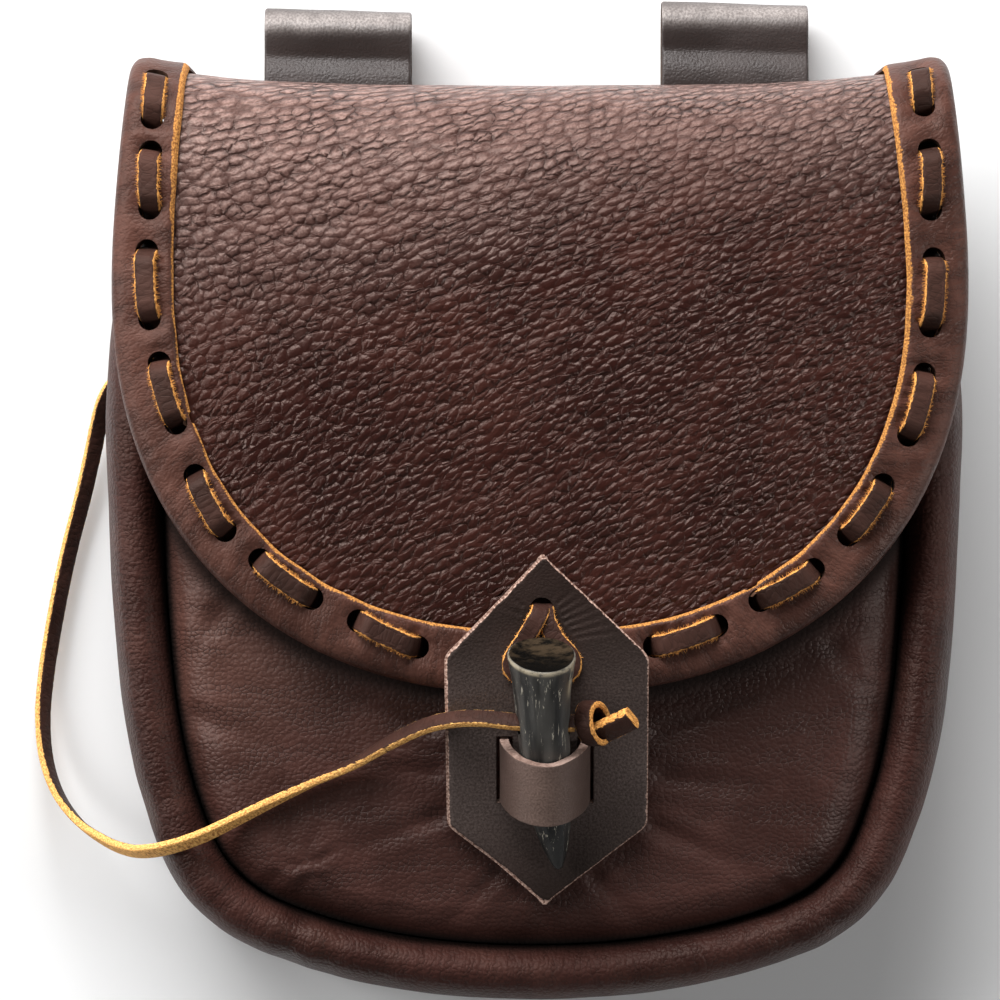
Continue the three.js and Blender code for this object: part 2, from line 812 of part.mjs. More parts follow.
// An arch of strap leather, leaning with the toggle, its feet on the front panel.
function makeToggleLoop() {
  const foot = -18;
  const inner = loopOuter - strapThick;
  const arch = new THREE.Shape();
  arch.moveTo(-loopOuter, foot);
  arch.lineTo(-inner, foot);
  arch.lineTo(-inner, 0);
  arch.absarc(0, 0, inner, Math.PI, 0, true);
  arch.lineTo(inner, foot);
  arch.lineTo(loopOuter, foot);
  arch.lineTo(loopOuter, 0);
  arch.absarc(0, 0, loopOuter, 0, Math.PI, false);
  const options = { depth: loopHeight, bevelEnabled: false, curveSegments: 9 };
  const strap = new THREE.ExtrudeGeometry(arch, options);
  strap.translate(0, 0, -loopHeight / 2);
  strap.rotateX(Math.PI / 2 + loopLean);
  strap.translate(loopX, loopY, loopZ);
  const below = new THREE.BoxGeometry(40, 60, 40);
  below.translate(loopX, loopY, loopFootZ - 20);
  return minus(strap, [below]);
}

function makeToggle() {
  const profile = [
    new THREE.Vector2(0, 0),
    ...toggleProfile.map(({ along, radius }) => new THREE.Vector2(radius, -along)),
    new THREE.Vector2(0, -toggleProfile[toggleProfile.length - 1].along - 0.4),
  ];
  const horn = new THREE.LatheGeometry(profile.reverse(), toggleSides);
  const place = horn.getAttribute('position');
  for (let i = 0; i < place.count; i += 1) {
    const along = -place.getY(i) / 46.6;
    place.setX(i, place.getX(i) + toggleTipShift * along * along);
  }
  horn.rotateX(toggleTilt);
  horn.translate(toggleHeadX, toggleHeadY, toggleHeadZ);
  const axis = new THREE.Vector3(0, -Math.cos(toggleTilt), -Math.sin(toggleTilt));
  const head = new THREE.Vector3(toggleHeadX, toggleHeadY, toggleHeadZ);
  const at = head.addScaledVector(axis, toggleBoreAlong);
  const bore = punch(at, new THREE.Vector3(1, 0, 0), toggleBoreRadius, 30, 10);
  return minus(horn, [bore]);
}

const tetherCurve = curveOf(tetherRoute.map(({ x, y, z }) => new THREE.Vector3(x, y, z)));

function makeTether() {
  const places = Array.from({ length: tetherSteps + 1 }, (_, i) => {
    const share = i / tetherSteps;
    const at = tetherCurve.getPointAt(share);
    const tangent = tetherCurve.getTangentAt(share);
    const row = tetherCurve.getUtoTmapping(share) * (tetherRoute.length - 1);
    const from = tetherRoute[Math.floor(row)];
    const to = tetherRoute[Math.min(tetherRoute.length - 1, Math.floor(row) + 1)];
    const lean = THREE.MathUtils.lerp(from.lean, to.lean, row % 1) * Math.PI / 180;
    const inner = new THREE.Vector3(-tangent.y, tangent.x, 0).normalize();
    const up = new THREE.Vector3().crossVectors(tangent, inner).normalize();
    const width = inner.multiplyScalar(Math.cos(lean)).addScaledVector(up, -Math.sin(lean));
    return { at, tangent, width };
  });
  return ribbon(places, tetherWide, tetherThick, 0.5);
}

function makeKnot() {
  const at = tetherRoute[tetherRoute.length - 1];
  const wrap = new THREE.LatheGeometry([
    new THREE.Vector2(0, -knotHalfLength),
    new THREE.Vector2(knotRadius - 1.2, -knotHalfLength),
    new THREE.Vector2(knotRadius, -knotHalfLength + 1),
    new THREE.Vector2(knotRadius, knotHalfLength - 1),
    new THREE.Vector2(knotRadius - 1.2, knotHalfLength),
    new THREE.Vector2(0, knotHalfLength),
  ], 12);
  wrap.rotateZ(-Math.PI / 2);
  wrap.scale(1, 1, 0.8);
  wrap.translate(knotX, at.y, at.z);
  const tail = new THREE.BoxGeometry(knotTailEnd - knotX, knotTailHigh, knotTailThick);
  tail.translate((knotTailEnd + knotX) / 2, at.y, at.z - 0.4);
  return plus(wrap, [tail]);
}

function tetherHole() {
  const first = tetherRoute[0];
  const second = tetherRoute[1];
  const from = new THREE.Vector3(first.x, first.y, first.z);
  const way = new THREE.Vector3(second.x, second.y, second.z).sub(from);
  return punch(from, way, tetherHoleRadius, 13, 8);
}

function makeBeltLoop({ top }) {
  const raise = top - 101.4;
  const line = curveOf(beltLoopPath.map(({ y, z }) => new THREE.Vector3(y, z, 0)));
  const steps = 30;
  const outer = [];
  const inner = [];
  for (let i = 0; i <= steps; i += 1) {
    const at = line.getPointAt(i / steps);
    const tangent = line.getTangentAt(i / steps);
    const shift = raise * smooth(60, 92, at.x);
    const side = new THREE.Vector2(-tangent.y, tangent.x).multiplyScalar(strapThick / 2);
    outer.push(new THREE.Vector2(at.x + shift + side.x, at.y + side.y));
    inner.push(new THREE.Vector2(at.x + shift - side.x, at.y - side.y));
  }
  const level = [...outer, ...inner.reverse()];
  level.forEach((p) => {
    p.y = Math.max(0, p.y);
  });
  const strap = new THREE.ExtrudeGeometry(new THREE.Shape(level), {
    depth: beltLoopWide,
    bevelEnabled: false,
  });
  strap.translate(0, 0, -beltLoopWide / 2);
  strap.applyMatrix4(new THREE.Matrix4().makeBasis(
    new THREE.Vector3(0, 1, 0),
    new THREE.Vector3(0, 0, 1),
    new THREE.Vector3(1, 0, 0),
  ));
  return geometryOf(manifoldOf(strap));
}

const pouch = new THREE.Group();
pouch.name = 'belt_pouch';

function addPiece(name, geometry, color, roughness, metalness = 0) {
  const bare = geometry.clone();
  bare.deleteAttribute('uv');
  bare.deleteAttribute('normal');
  const shape = mergeVertices(bare, 1e-5);
  shape.computeVertexNormals();
  const material = new THREE.MeshStandardMaterial({ color, roughness, metalness });
  material.name = `${name}_leather`;
  const mesh = new THREE.Mesh(shape, material);
  mesh.name = name;
  pouch.add(mesh);
  return mesh;
}

const punches = laceHolePunches();

addPiece('back_panel', makeBack(), 0x4a322b, 0.7);
addPiece('gusset', minus(makeGusset(), [tetherHole()]), 0x4e352f, 0.6);
addPiece('front_panel', makeFront(), 0x4a332e, 0.62);
addPiece('flap', minus(makeFlap(), punches), 0x50322b, 0.55);
addPiece('flap_binding', minus(makeBinding(), punches), 0x55382f, 0.58);
addPiece('flap_lacing', makeLacing(), 0x3c2822, 0.7);
addPiece('closure_patch', makePatch(), 0x3c3230, 0.6);
addPiece('patch_lace', makePatchLace(), 0x4a342c, 0.7);
addPiece('toggle_loop', makeToggleLoop(), 0x57483f, 0.7);
addPiece('horn_toggle', makeToggle(), 0x33322f, 0.28).material.name = 'horn';
addPiece('tether_lace', makeTether(), 0x5a4030, 0.75);
addPiece('tether_knot', makeKnot(), 0x5a4030, 0.75);
for (const loop of beltLoops) {
  const strap = makeBeltLoop(loop);
  strap.translate(loop.x, 0, 0);
  addPiece(loop.name, strap, 0x494240, 0.5);
}

export default pouch;
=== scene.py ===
import bpy
import math
import random
import numpy as np
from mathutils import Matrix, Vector, noise


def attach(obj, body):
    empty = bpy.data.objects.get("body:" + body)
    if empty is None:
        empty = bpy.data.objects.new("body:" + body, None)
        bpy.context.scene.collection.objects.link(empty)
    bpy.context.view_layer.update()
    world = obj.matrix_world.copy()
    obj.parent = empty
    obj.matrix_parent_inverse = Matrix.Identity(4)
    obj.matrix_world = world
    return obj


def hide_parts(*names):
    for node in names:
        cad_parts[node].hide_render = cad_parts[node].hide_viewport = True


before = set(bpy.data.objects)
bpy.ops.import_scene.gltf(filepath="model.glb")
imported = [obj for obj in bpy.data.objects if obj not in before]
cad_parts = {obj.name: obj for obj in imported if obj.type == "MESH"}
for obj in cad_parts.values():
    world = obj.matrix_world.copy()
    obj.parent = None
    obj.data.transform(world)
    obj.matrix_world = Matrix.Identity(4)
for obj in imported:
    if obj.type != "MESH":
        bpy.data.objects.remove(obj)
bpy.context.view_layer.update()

mm = 0.001
random.seed(11)
scene = bpy.context.scene
scene.view_settings.view_transform = "Standard"

# camera straight above the pouch, which lies on its back
camera = {"place": (-0.00685, -0.0005, 1.545), "lens": 270, "sensor": 36, "far": 20}
bpy.ops.object.camera_add(location=camera["place"], rotation=(0, 0, 0))
scene.camera = bpy.context.object
scene.camera.data.lens = camera["lens"]
scene.camera.data.sensor_width = camera["sensor"]
scene.camera.data.clip_end = camera["far"]


# small helpers

def smoothStep(low, high, value):
    t = np.clip((value - low) / (high - low), 0, 1)
    return t * t * (3 - 2 * t)


def fade(low, high, value):  # from 1 down to 0
    return 1 - smoothStep(low, high, value)


def lerp(a, b, t):
    return a + (b - a) * t


def bell(away, wide):
    return np.exp(-(away / wide) ** 2)


def stacked(*columns):
    return np.stack(np.broadcast_arrays(*columns), axis=-1)


def smoothLine(rows, steps=30):  # a smooth line through the rows of a table
    p = np.array(rows, float)
    p = np.vstack([2 * p[0] - p[1], p, 2 * p[-1] - p[-2]])
    line = [p[1]]
    for a, b, c, d in zip(p, p[1:], p[2:], p[3:]):
        k0, k1, k2 = [max(np.linalg.norm(e) ** 0.5, 1e-6) for e in (b - a, c - b, d - c)]
        leave = ((b - a) / k0 - (c - a) / (k0 + k1) + (c - b) / k1) * k1
        reach = ((c - b) / k1 - (d - b) / (k1 + k2) + (d - c) / k2) * k1
        for t in np.linspace(0, 1, steps + 1)[1:]:
            back = 1 - t
            line.append(b * (1 + 2 * t) * back ** 2 + leave * t * back ** 2
                        + c * t * t * (3 - 2 * t) + reach * t * t * (t - 1))
    return np.array(line)


def runOf(line):
    return np.concatenate([[0], np.cumsum(np.linalg.norm(np.diff(line, axis=0), axis=1))])


def walk(line, share):  # places at shares of the line's length
    run = runOf(line)
    return stacked(*[np.interp(share * run[-1], run, column) for column in line.T])


def edgeAt(line, share, step):  # places and directions at shares of the line's length
    ahead = walk(line, np.minimum(share + step, 1)) - walk(line, np.maximum(share - step, 0))
    return walk(line, share), unit(ahead)


def evenRows(dense, rows, count):  # even places on a smooth line, with what its table's rows say there
    spot = np.linspace(0, len(rows) - 1, len(dense))
    share = np.linspace(0, 1, count)
    run = runOf(dense) / runOf(dense)[-1]
    found = [np.interp(share, run, np.interp(spot, np.arange(len(rows)), column)) for column in rows.T]
    return walk(dense, share), stacked(*found)


def toLine(at, start, end):  # share along a straight line, and distance from it
    way = end - start
    share = np.clip((at - start) @ way / (way @ way), 0, 1)
    return share, np.linalg.norm(at - start - share[:, None] * way, axis=1)


def unit(v):
    return v / np.maximum(np.linalg.norm(v, axis=-1, keepdims=True), 1e-9)


def blotch(points, size=1.0, seed=0.0):  # smooth noise from -1 to 1, features about size mm across
    q = np.asarray(points) / size + seed
    return np.array([noise.noise(Vector(p)) for p in q])


def toLinear(*screen):  # a screen colour, 0 to 255, as the shader takes it
    return tuple(((c / 255 + 0.055) / 1.055) ** 2.4 if c > 10 else c / 255 / 12.92 for c in screen) + (1,)


# modelling helpers

def deselectAll():
    if bpy.context.mode != "OBJECT":
        bpy.ops.object.mode_set(mode="OBJECT")
    bpy.ops.object.select_all(action="DESELECT")


def choose(piece):
    deselectAll()
    piece.hide_set(False)
    piece.select_set(True)
    bpy.context.view_layer.objects.active = piece


def newGrid(name, across, down):
    deselectAll()
    bpy.ops.mesh.primitive_grid_add(x_subdivisions=across, y_subdivisions=down, size=1)
    piece = bpy.context.object
    piece.name = name
    piece.data.name = name
    return piece


def placesOf(piece):
    flat = np.empty(len(piece.data.vertices) * 3)
    piece.data.vertices.foreach_get("co", flat)
    return flat.reshape(-1, 3) / mm


def moveTo(piece, places):
    piece.data.vertices.foreach_set("co", (np.asarray(places) * mm).ravel())
    piece.data.update()


def sheet(name, across, down, place, middle, *extra):  # a grid on a surface, turned away from its middle
    piece = newGrid(name, across, down)
    at = placesOf(piece) * mm
    u, v = at[:, 0] + 0.5, at[:, 1] + 0.5
    moveTo(piece, place(u, v, *extra))
    if middle:
        faceOut(piece, middle)
    return piece, u, v, placesOf(piece)


def lay(piece, a, b):  # flat coordinates of the skin, in mm, kept as the piece's UV map
    corner = np.empty(len(piece.data.loops), int)
    piece.data.loops.foreach_get("vertex_index", corner)
    piece.data.uv_layers[0].data.foreach_set("uv", (stacked(a, b)[corner] * mm).ravel())


def pushOut(piece, amount):  # sculpt along the normals, in mm
    normal = np.empty(len(piece.data.vertices) * 3)
    piece.data.vertex_normals.foreach_get("vector", normal)
    moveTo(piece, placesOf(piece) + normal.reshape(-1, 3) * np.asarray(amount)[:, None])


def settle(piece):  # nothing reaches below the floor
    at = placesOf(piece)
    at[:, 2] = np.maximum(at[:, 2], 0)
    moveTo(piece, at)


def wholeMesh(piece, operator, **settings):  # one edit mode operator on all of a piece
    choose(piece)
    bpy.ops.object.mode_set(mode="EDIT")
    bpy.ops.mesh.select_all(action="SELECT")
    operator(**settings)
    bpy.ops.object.mode_set(mode="OBJECT")


def weld(piece, outward=True):
    wholeMesh(piece, bpy.ops.mesh.remove_doubles, threshold=2e-6)
    if outward:
        wholeMesh(piece, bpy.ops.mesh.normals_make_consistent, inside=False)


def faceOut(piece, middle):  # turn an open sheet so that it faces away from a point
    total = 0
    for face in piece.data.polygons:
        total += face.normal.dot(face.center - Vector(middle) * mm) * face.area
    if total < 0:
        wholeMesh(piece, bpy.ops.mesh.flip_normals)


def applied(piece, kind, **settings):
    choose(piece)
    modifier = piece.modifiers.new(kind.lower(), kind)
    for key, value in settings.items():
        setattr(modifier, key, value)
    bpy.ops.object.modifier_apply(modifier=modifier.name)


def thicken(piece, thick, *skins, offset=-1):  # outside, lining and cut edge
    dress(piece, *skins)
    applied(piece, "SOLIDIFY", thickness=thick * mm, offset=offset, use_even_offset=False,
            material_offset=1, material_offset_rim=2)


def roundEdges(piece, width, segments=2):
    applied(piece, "BEVEL", width=width * mm, segments=segments, limit_method="ANGLE",
            angle_limit=math.radians(50), use_clamp_overlap=True)


def punched(piece, cutter):  # the cutter goes with its cut
    applied(piece, "BOOLEAN", operation="DIFFERENCE", object=cutter, solver="EXACT")
    bpy.data.objects.remove(cutter, do_unlink=True)


def joined(pieces, name):
    deselectAll()
    for piece in pieces:
        piece.select_set(True)
    bpy.context.view_layer.objects.active = pieces[0]
    if len(pieces) > 1:
        bpy.ops.object.join()
    made = bpy.context.view_layer.objects.active
    made.name = name
    made.data.name = name
    return made


def dress(piece, *materials):
    for material in materials:
        piece.data.materials.append(material)


def mark(piece, name, values):  # a number at each point for the material to read
    layer = piece.data.attributes.new(name, "FLOAT", "POINT")
    layer.data.foreach_set("value", np.asarray(values, np.float32))


def finished(piece, node, angle=42):
    choose(piece)
    bpy.ops.object.shade_smooth_by_angle(angle=math.radians(angle))
    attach(piece, "root")
    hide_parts(node)
    print(node, "made,", len(piece.data.polygons), "faces")


def ribbon(name, line, width, wide, thick, around=20, ragged=0.12, seed=0.0, suede=0.0, cut=False):
    # a flat lace along a line of places with its own width directions
    steps = len(line) - 1
    piece = newGrid(name, steps, around)
    at = placesOf(piece) * mm
    row = np.rint((at[:, 0] + 0.5) * steps).astype(int)
    turn = (at[:, 1] + 0.5) * 2 * math.pi
    ahead = unit(np.gradient(line, axis=0))
    across = unit(width - ahead * np.sum(width * ahead, axis=1, keepdims=True))
    up = np.cross(ahead, across)
    c, s = np.cos(turn), np.sin(turn)
    w = np.sign(c) * np.abs(c) ** 0.36  # flat faces with rounded corners
    t = np.sign(s) * np.abs(s) ** 0.55
    run = runOf(line)[row]
    edge = np.sign(w) * 5 + seed
    fray = blotch(stacked(run / 1.1, edge, 2.2)) + 0.6 * blotch(stacked(run / 0.35, edge, 7.7))
    half = wide / 2 + ragged * fray * np.abs(w) ** 4
    moveTo(piece, line[row] + across[row] * (w * half)[:, None] + up[row] * (t * thick / 2)[:, None])
    lay(piece, run + seed * 10, turn * (wide + thick) / math.pi)
    under = np.broadcast_to(suede, len(line))[row] * smoothStep(0.1, 0.5, -t)  # the lace's flesh side
    under = np.maximum(under, cut * (row == steps))
    mark(piece, "raw", np.maximum(smoothStep(0.8, 1.0, np.abs(w) + 0.10 * fray), under))
    weld(piece)
    choose(piece)
    bpy.ops.object.mode_set(mode="EDIT")
    bpy.ops.mesh.select_all(action="DESELECT")
    bpy.ops.mesh.select_non_manifold()
    bpy.ops.mesh.fill_holes(sides=0)
    bpy.ops.object.mode_set(mode="OBJECT")
    wholeMesh(piece, bpy.ops.mesh.normals_make_consistent, inside=False)
    return piece, across, up


def fibres(name, roots, ways, lengths, thick=0.13):
    # loose fibres: one thin cone, copied to every root
    deselectAll()
    bpy.ops.mesh.primitive_cone_add(vertices=3, radius1=1, radius2=0.15, depth=1, location=(0, 0, 0.5))
    bpy.ops.object.transform_apply(location=True, rotation=True, scale=True)
    piece = bpy.context.object
    cone = np.array([v.co for v in piece.data.vertices])
    faces = [list(f.vertices) for f in piece.data.polygons]
    places, allFaces = [], []
    for root, way, length in zip(roots, ways, lengths):
        turn = Vector(way).to_track_quat("Z", "Y").to_matrix()
        start = len(places)
        for p in cone:
            q = turn @ Vector((p[0] * thick / 2, p[1] * thick / 2, p[2] * length))
            places.append([(root[k] + q[k]) * mm for k in range(3)])
        allFaces += [[i + start for i in f] for f in faces]
    mesh = bpy.data.meshes.new(name)
    mesh.from_pydata(places, [], allFaces)
    piece.data = mesh
    piece.name = name
    mark(piece, "raw", np.ones(len(places)))
    return piece


# material helpers

making = {}  # the material that new nodes go into


def newMaterial(name):
    material = bpy.data.materials.new(name)
    material.use_nodes = True
    making["tree"] = material.node_tree
    making["tree"].nodes.clear()
    shader = making["tree"].nodes.new("ShaderNodeBsdfPrincipled")
    put("OutputMaterial", {0: shader.outputs[0]})
    return material, shader


def feed(node, inputs):  # outputs are linked, plain values are set
    for key, value in inputs.items():
        if isinstance(value, bpy.types.NodeSocket):
            making["tree"].links.new(value, node.inputs[key])
        else:
            node.inputs[key].default_value = value


def put(kind, inputs={}, **settings):
    made = making["tree"].nodes.new("ShaderNode" + kind)
    for key, value in settings.items():
        setattr(made, key, value)
    feed(made, inputs)
    return made.outputs


def blend(factor, a, b):
    return put("Mix", {0: factor, 6: a, 7: b}, data_type="RGBA")[2]


def spread(value, low, high, toLow=0.0, toHigh=1.0):
    ends = {"From Min": low, "From Max": high, "To Min": toLow, "To Max": toHigh}
    return put("MapRange", dict(ends, Value=value), interpolation_type="SMOOTHSTEP")[0]


def sums(a, b, how="ADD"):
    return put("Math", {0: a, 1: b}, operation=how)[0]


def times(a, b):
    return sums(a, b, "MULTIPLY")


def fromMiddle(value):
    return sums(value, 0.5, "SUBTRACT")


def marked(name):  # what mark() left on the piece
    return put("Attribute", attribute_name=name)["Fac"]


def alongY(place):
    return put("SeparateXYZ", {0: place})["Y"]


def cloud(spot, size, detail=3.0, rough=0.5):  # 2D noise with features of a size in metres
    return put("TexNoise", {"Vector": spot, "Scale": 1 / size, "Detail": detail, "Roughness": rough},
               noise_dimensions="2D")


def speckle(place, scale, detail, rough=0.5):  # 3D noise
    return put("TexNoise", {"Vector": place, "Scale": scale, "Detail": detail, "Roughness": rough})["Fac"]


def wobbled(spot, amount, size):
    wobble = cloud(spot, size, 1.0)["Color"]
    return put("VectorMath", {0: wobble, 1: (amount, amount, 0), 2: spot}, operation="MULTIPLY_ADD")[0]


def grainSpot(spot, angle, stretch, warp, warpSize):  # skin coordinates wobbled, turned and drawn out
    turned = put("Mapping", {"Vector": wobbled(spot, warp, warpSize), "Rotation": (0, 0, angle)})[0]
    return put("Mapping", {"Vector": turned, "Scale": (1 / stretch, 1, 1)})[0]


leatherLook = {  # what a leather has unless its own look says otherwise, sizes and heights in metres
    "angle": 0, "stretch": 1.5, "warp": 0.0012, "uneven": 0.85, "edge": 0.12, "faint": 0.7,
    "crackHigh": 0.00003, "drawn": 4.0, "row": 0.004, "rowHigh": 0.0002, "dip": 0.25, "patch": 0.03,
    "dustHigh": 0.00007, "specular": 0.4, "sheen": (1, 0.8, 0.72, 1),
}
# painted shade colour for seams and under overhanging edges
paintedSeamShade = toLinear(8, 5, 4)


def leather(name, look):
    look = dict(leatherLook, **look)
    tones = ("base", "dark", "light", "creviceShade", "rawDark", "rawLight")
    base, dark, light, creviceShade, rawDark, rawLight = [toLinear(*look[tone]) for tone in tones]
    material, shader = newMaterial(name)
    spot = put("UVMap", uv_map="UVMap")[0]
    ragged = wobbled(spot, 0.0004, 0.0009)  # wavy cell edges
    bent = grainSpot(ragged, look["angle"], look["stretch"], look["warp"], 0.003)
    cell = {"Vector": bent, "Scale": 1 / look["cell"], "Randomness": look["uneven"]}
    cells = put("TexVoronoi", dict(cell, Smoothness=0.3), feature="SMOOTH_F1", voronoi_dimensions="2D")
    edges = put("TexVoronoi", cell, feature="DISTANCE_TO_EDGE", voronoi_dimensions="2D")["Distance"]
    pebble = spread(cells["Distance"], 0.0, 0.85, 1.0, 0.0)
    off = put("VectorMath", {0: bent, 1: cells["Position"]}, operation="SUBTRACT")[0]
    dust = cloud(spot, 0.0005, 2.0, 0.6)["Fac"]
    patches = cloud(spot, look["patch"], 3.0, 0.6)["Fac"]
    drawn = grainSpot(spot, look["angle"], look["drawn"], 0.003, 0.02)
    rows = cloud(drawn, look["row"], 2.0)["Fac"]
    shut = spread(rows, 0.36, 0.62, 1.0, 1 - look["faint"])  # some cracks close up
    crack = times(spread(edges, 0.0, look["edge"], 1.0, 0.0), shut)
    if "ends" in look:  # cracks along the grain are deeper than those across it, and some run on as lines
        aim = sums(alongY(put("VectorMath", {0: off}, operation="NORMALIZE")[0]), 0.0, "ABSOLUTE")
        crack = times(crack, spread(aim, 0.4, 0.85, look["ends"], 1.0))
        level = sums(fromMiddle(rows), 0.0, "ABSOLUTE")
        crack = sums(crack, spread(level, 0.0, 0.03, look["lines"], 0.0), "MAXIMUM")
    colour = blend(spread(patches, 0.35, 0.68), dark, base)
    # painted shade: cracks and the dips between rows are darkened towards the crevice shade colour, where
    # shade lies in the grain
    colour = blend(times(crack, look["crease"]), colour, creviceShade)
    colour = blend(spread(rows, 0.3, 0.55, look["dip"], 0.0), colour, creviceShade)
    # paler by real wear on some pieces and by painted light on others, as each piece marks it
    wearAndLightMask = times(marked("wearAndPaintedLight"), spread(dust, 0.3, 0.7, 0.5, 1.0))
    if look["crease"]:  # cracks stay dark: no wear or painted light in them
        wearAndLightMask = times(wearAndLightMask, sums(1.0, crack, "SUBTRACT"))
    if look.get("sheenTops"):  # the tops of the pebbles get most of the painted sheen
        wearAndLightMask = times(wearAndLightMask, spread(pebble, 0.3, 0.85, 0.42, 1.0))
    colour = blend(wearAndLightMask, colour, light)
    frayed = spread(sums(marked("raw"), fromMiddle(dust)), 0.35, 0.75)
    colour = blend(frayed, colour, blend(spread(dust, 0.35, 0.65), rawDark, rawLight))
    rough = blend(frayed, spread(patches, 0.3, 0.7, *look["gloss"]), (0.9, 0.9, 0.9, 1))
    if look.get("grooves"):  # painted shade: dark and dull in the seam and where an edge lies over it
        deep = marked("deep")
        colour = blend(deep, colour, paintedSeamShade)
        rough = blend(deep, rough, (1, 1, 1, 1))
    height = times(pebble, look["cellHigh"])
    if "tilt" in look:  # each pebble leans its own way
        lean = fromMiddle(put("SeparateColor", {0: cells["Color"]})[0])
        height = sums(height, times(times(lean, look["tilt"]), alongY(off)))
    for part, high in ((crack, -look["crackHigh"]), (rows, look["rowHigh"]), (dust, look["dustHigh"])):
        height = sums(height, times(part, high))
    bump = put("Bump", {"Strength": 1.0, "Distance": 1.0, "Height": height})[0]
    feed(shader, {"Base Color": colour, "Roughness": rough, "Specular IOR Level": look["specular"],
                  "Specular Tint": look["sheen"], "Normal": bump})
    return material


def fleshSide(name, light, dark):  # the suede inside of leather, and cut edges
    material, shader = newMaterial(name)
    place = put("TexCoord")["Object"]
    nap = speckle(place, 900.0, 5.0, 0.7)
    mixed = sums(nap, times(speckle(place, 90.0, 3.0), 0.6))
    colour = blend(spread(mixed, 0.55, 1.05), toLinear(*dark), toLinear(*light))
    bump = put("Bump", {"Strength": 0.8, "Distance": 0.0002, "Height": nap})[0]
    feed(shader, {"Base Color": colour, "Roughness": 0.92, "Specular IOR Level": 0.2, "Normal": bump})
    return material


# floor, lights and soft surroundings
studio = {"floor": (0.92, 0.92, 0.92, 1), "world": 0.06,
          "top": 27.0, "key": 11.0, "rim": 5.5, "right": 3.6, "fill": 0.3}  # power of the lights in watts

deselectAll()
bpy.ops.mesh.primitive_plane_add(size=6, location=(0, 0, -0.0004))
floor = bpy.context.object
floor.name = "floor"
paper, paperShader = newMaterial("floor_paper")
feed(paperShader, {"Base Color": studio["floor"], "Roughness": 0.9})
dress(floor, paper)

world = bpy.data.worlds.new("studio")
world.use_nodes = True
world.node_tree.nodes["Background"].inputs[0].default_value = (1, 1, 1, 1)
world.node_tree.nodes["Background"].inputs[1].default_value = studio["world"]
scene.world = world


def softbox(name, place, aim, power, wide, high, mirrored=True):
    deselectAll()
    bpy.ops.object.light_add(type="AREA", location=place)
    lamp = bpy.context.object
    lamp.name = name
    lamp.data.shape = "RECTANGLE"
    lamp.data.size = wide
    lamp.data.size_y = high
    lamp.data.energy = power
    lamp.visible_glossy = mirrored  # a low light rakes the grain without a glare from the other side
    lamp.rotation_euler = (Vector(aim) - Vector(place)).to_track_quat("-Z", "Y").to_euler()


softbox("top", (-0.35, 1.12, 0.4), (0, 0.02, 0.03), studio["top"], 1.5, 0.6, False)
softbox("key", (-0.3, 0.9, 0.8), (0, 0, 0.03), studio["key"], 0.9, 0.35)
softbox("left", (-0.95, 0.2, 0.66), (0, 0, 0.03), studio["rim"], 0.4, 0.5)
softbox("right", (0.95, -0.15, 0.66), (0, 0, 0.03), studio["right"], 0.4, 0.5)
softbox("low", (0.2, -0.9, 1.0), (0, 0, 0.03), studio["fill"], 0.7, 0.4)
print("studio ready")


# tether lace: the free cord comes first
tether = {
    "wide": 3.6, "thick": 1.7, "steps": 330,
    "route": [  # x, y, z and how far its face leans in
        (-82.4, 25.2, 11.2, 24), (-85.7, 23.2, 8.4, 26), (-88.0, 19.4, 6.2, 28), (-89.4, 14.4, 4.6, 29),
        (-90.7, 8.4, 3.5, 30), (-92.6, 0.2, 2.7, 32), (-95.0, -9.0, 2.4, 34), (-97.1, -18.4, 2.4, 36),
        (-98.8, -27.6, 2.5, 38), (-100.2, -36.8, 2.8, 42), (-100.8, -45.2, 3.6, 50),
        (-100.0, -53.5, 5.4, 60), (-97.4, -60.6, 8.8, 74), (-92.9, -66.2, 13.8, 92),
        (-87.2, -69.7, 21.0, 108), (-81.9, -71.2, 30.2, 120), (-77.3, -71.0, 38.6, 126),
        (-72.3, -69.8, 44.0, 126), (-66.4, -67.7, 45.6, 124), (-60.0, -64.6, 46.0, 118),
        (-52.8, -61.0, 46.6, 108), (-44.6, -57.1, 47.2, 94), (-36.6, -53.4, 48.8, 76),
        (-28.4, -48.6, 52.6, 58), (-21.6, -45.3, 57.0, 50), (-15.8, -43.9, 60.4, 44),
        (-9.8, -43.7, 62.6, 41), (-4.2, -44.3, 63.6, 40), (2.2, -44.6, 63.9, 40), (7.9, -44.6, 63.9, 40)],
}


def tetherLine():
    rows = np.array(tether["route"], float)
    line, lean = evenRows(smoothLine(rows[:, :3]), rows[:, 3:], tether["steps"] + 1)
    lean = np.radians(lean)
    ahead = unit(np.gradient(line, axis=0))
    inner = unit(stacked(-ahead[:, 1], ahead[:, 0], 0))
    up = unit(np.cross(ahead, inner))
    return line, inner * np.cos(lean) - up * np.sin(lean), 0.8 * smoothStep(0.8, 1.3, lean[:, 0])


laceLook = {
    "base": (70, 45, 38), "dark": (50, 32, 27), "light": (150, 110, 90),
    "creviceShade": (30, 17, 13), "rawDark": (176, 116, 60), "rawLight": (246, 178, 97),
    "cell": 0.0008, "cellHigh": 0.00007, "stretch": 1.5, "crease": 0.35, "row": 0.0018, "drawn": 2.5,
    "rowHigh": 0.0001, "gloss": (0.48, 0.66), "dip": 0.3, "specular": 0.3,
}
laceSkin = leather("lace_leather", laceLook)

cordLine, cordWidth, cordSuede = tetherLine()
tetherLace, _, _ = ribbon("tether_lace_strip", cordLine, cordWidth, tether["wide"], tether["thick"], seed=3.1,
                          suede=cordSuede)
tetherLitLook = dict(laceLook, rawDark=(200, 138, 76), rawLight=(255, 200, 118))  # the flesh side painted paler than on the other laces, as painted light on the tether's shaded lower run
dress(tetherLace, leather("tether_leather_lit", tetherLitLook))
finished(tetherLace, "tether_lace", 50)

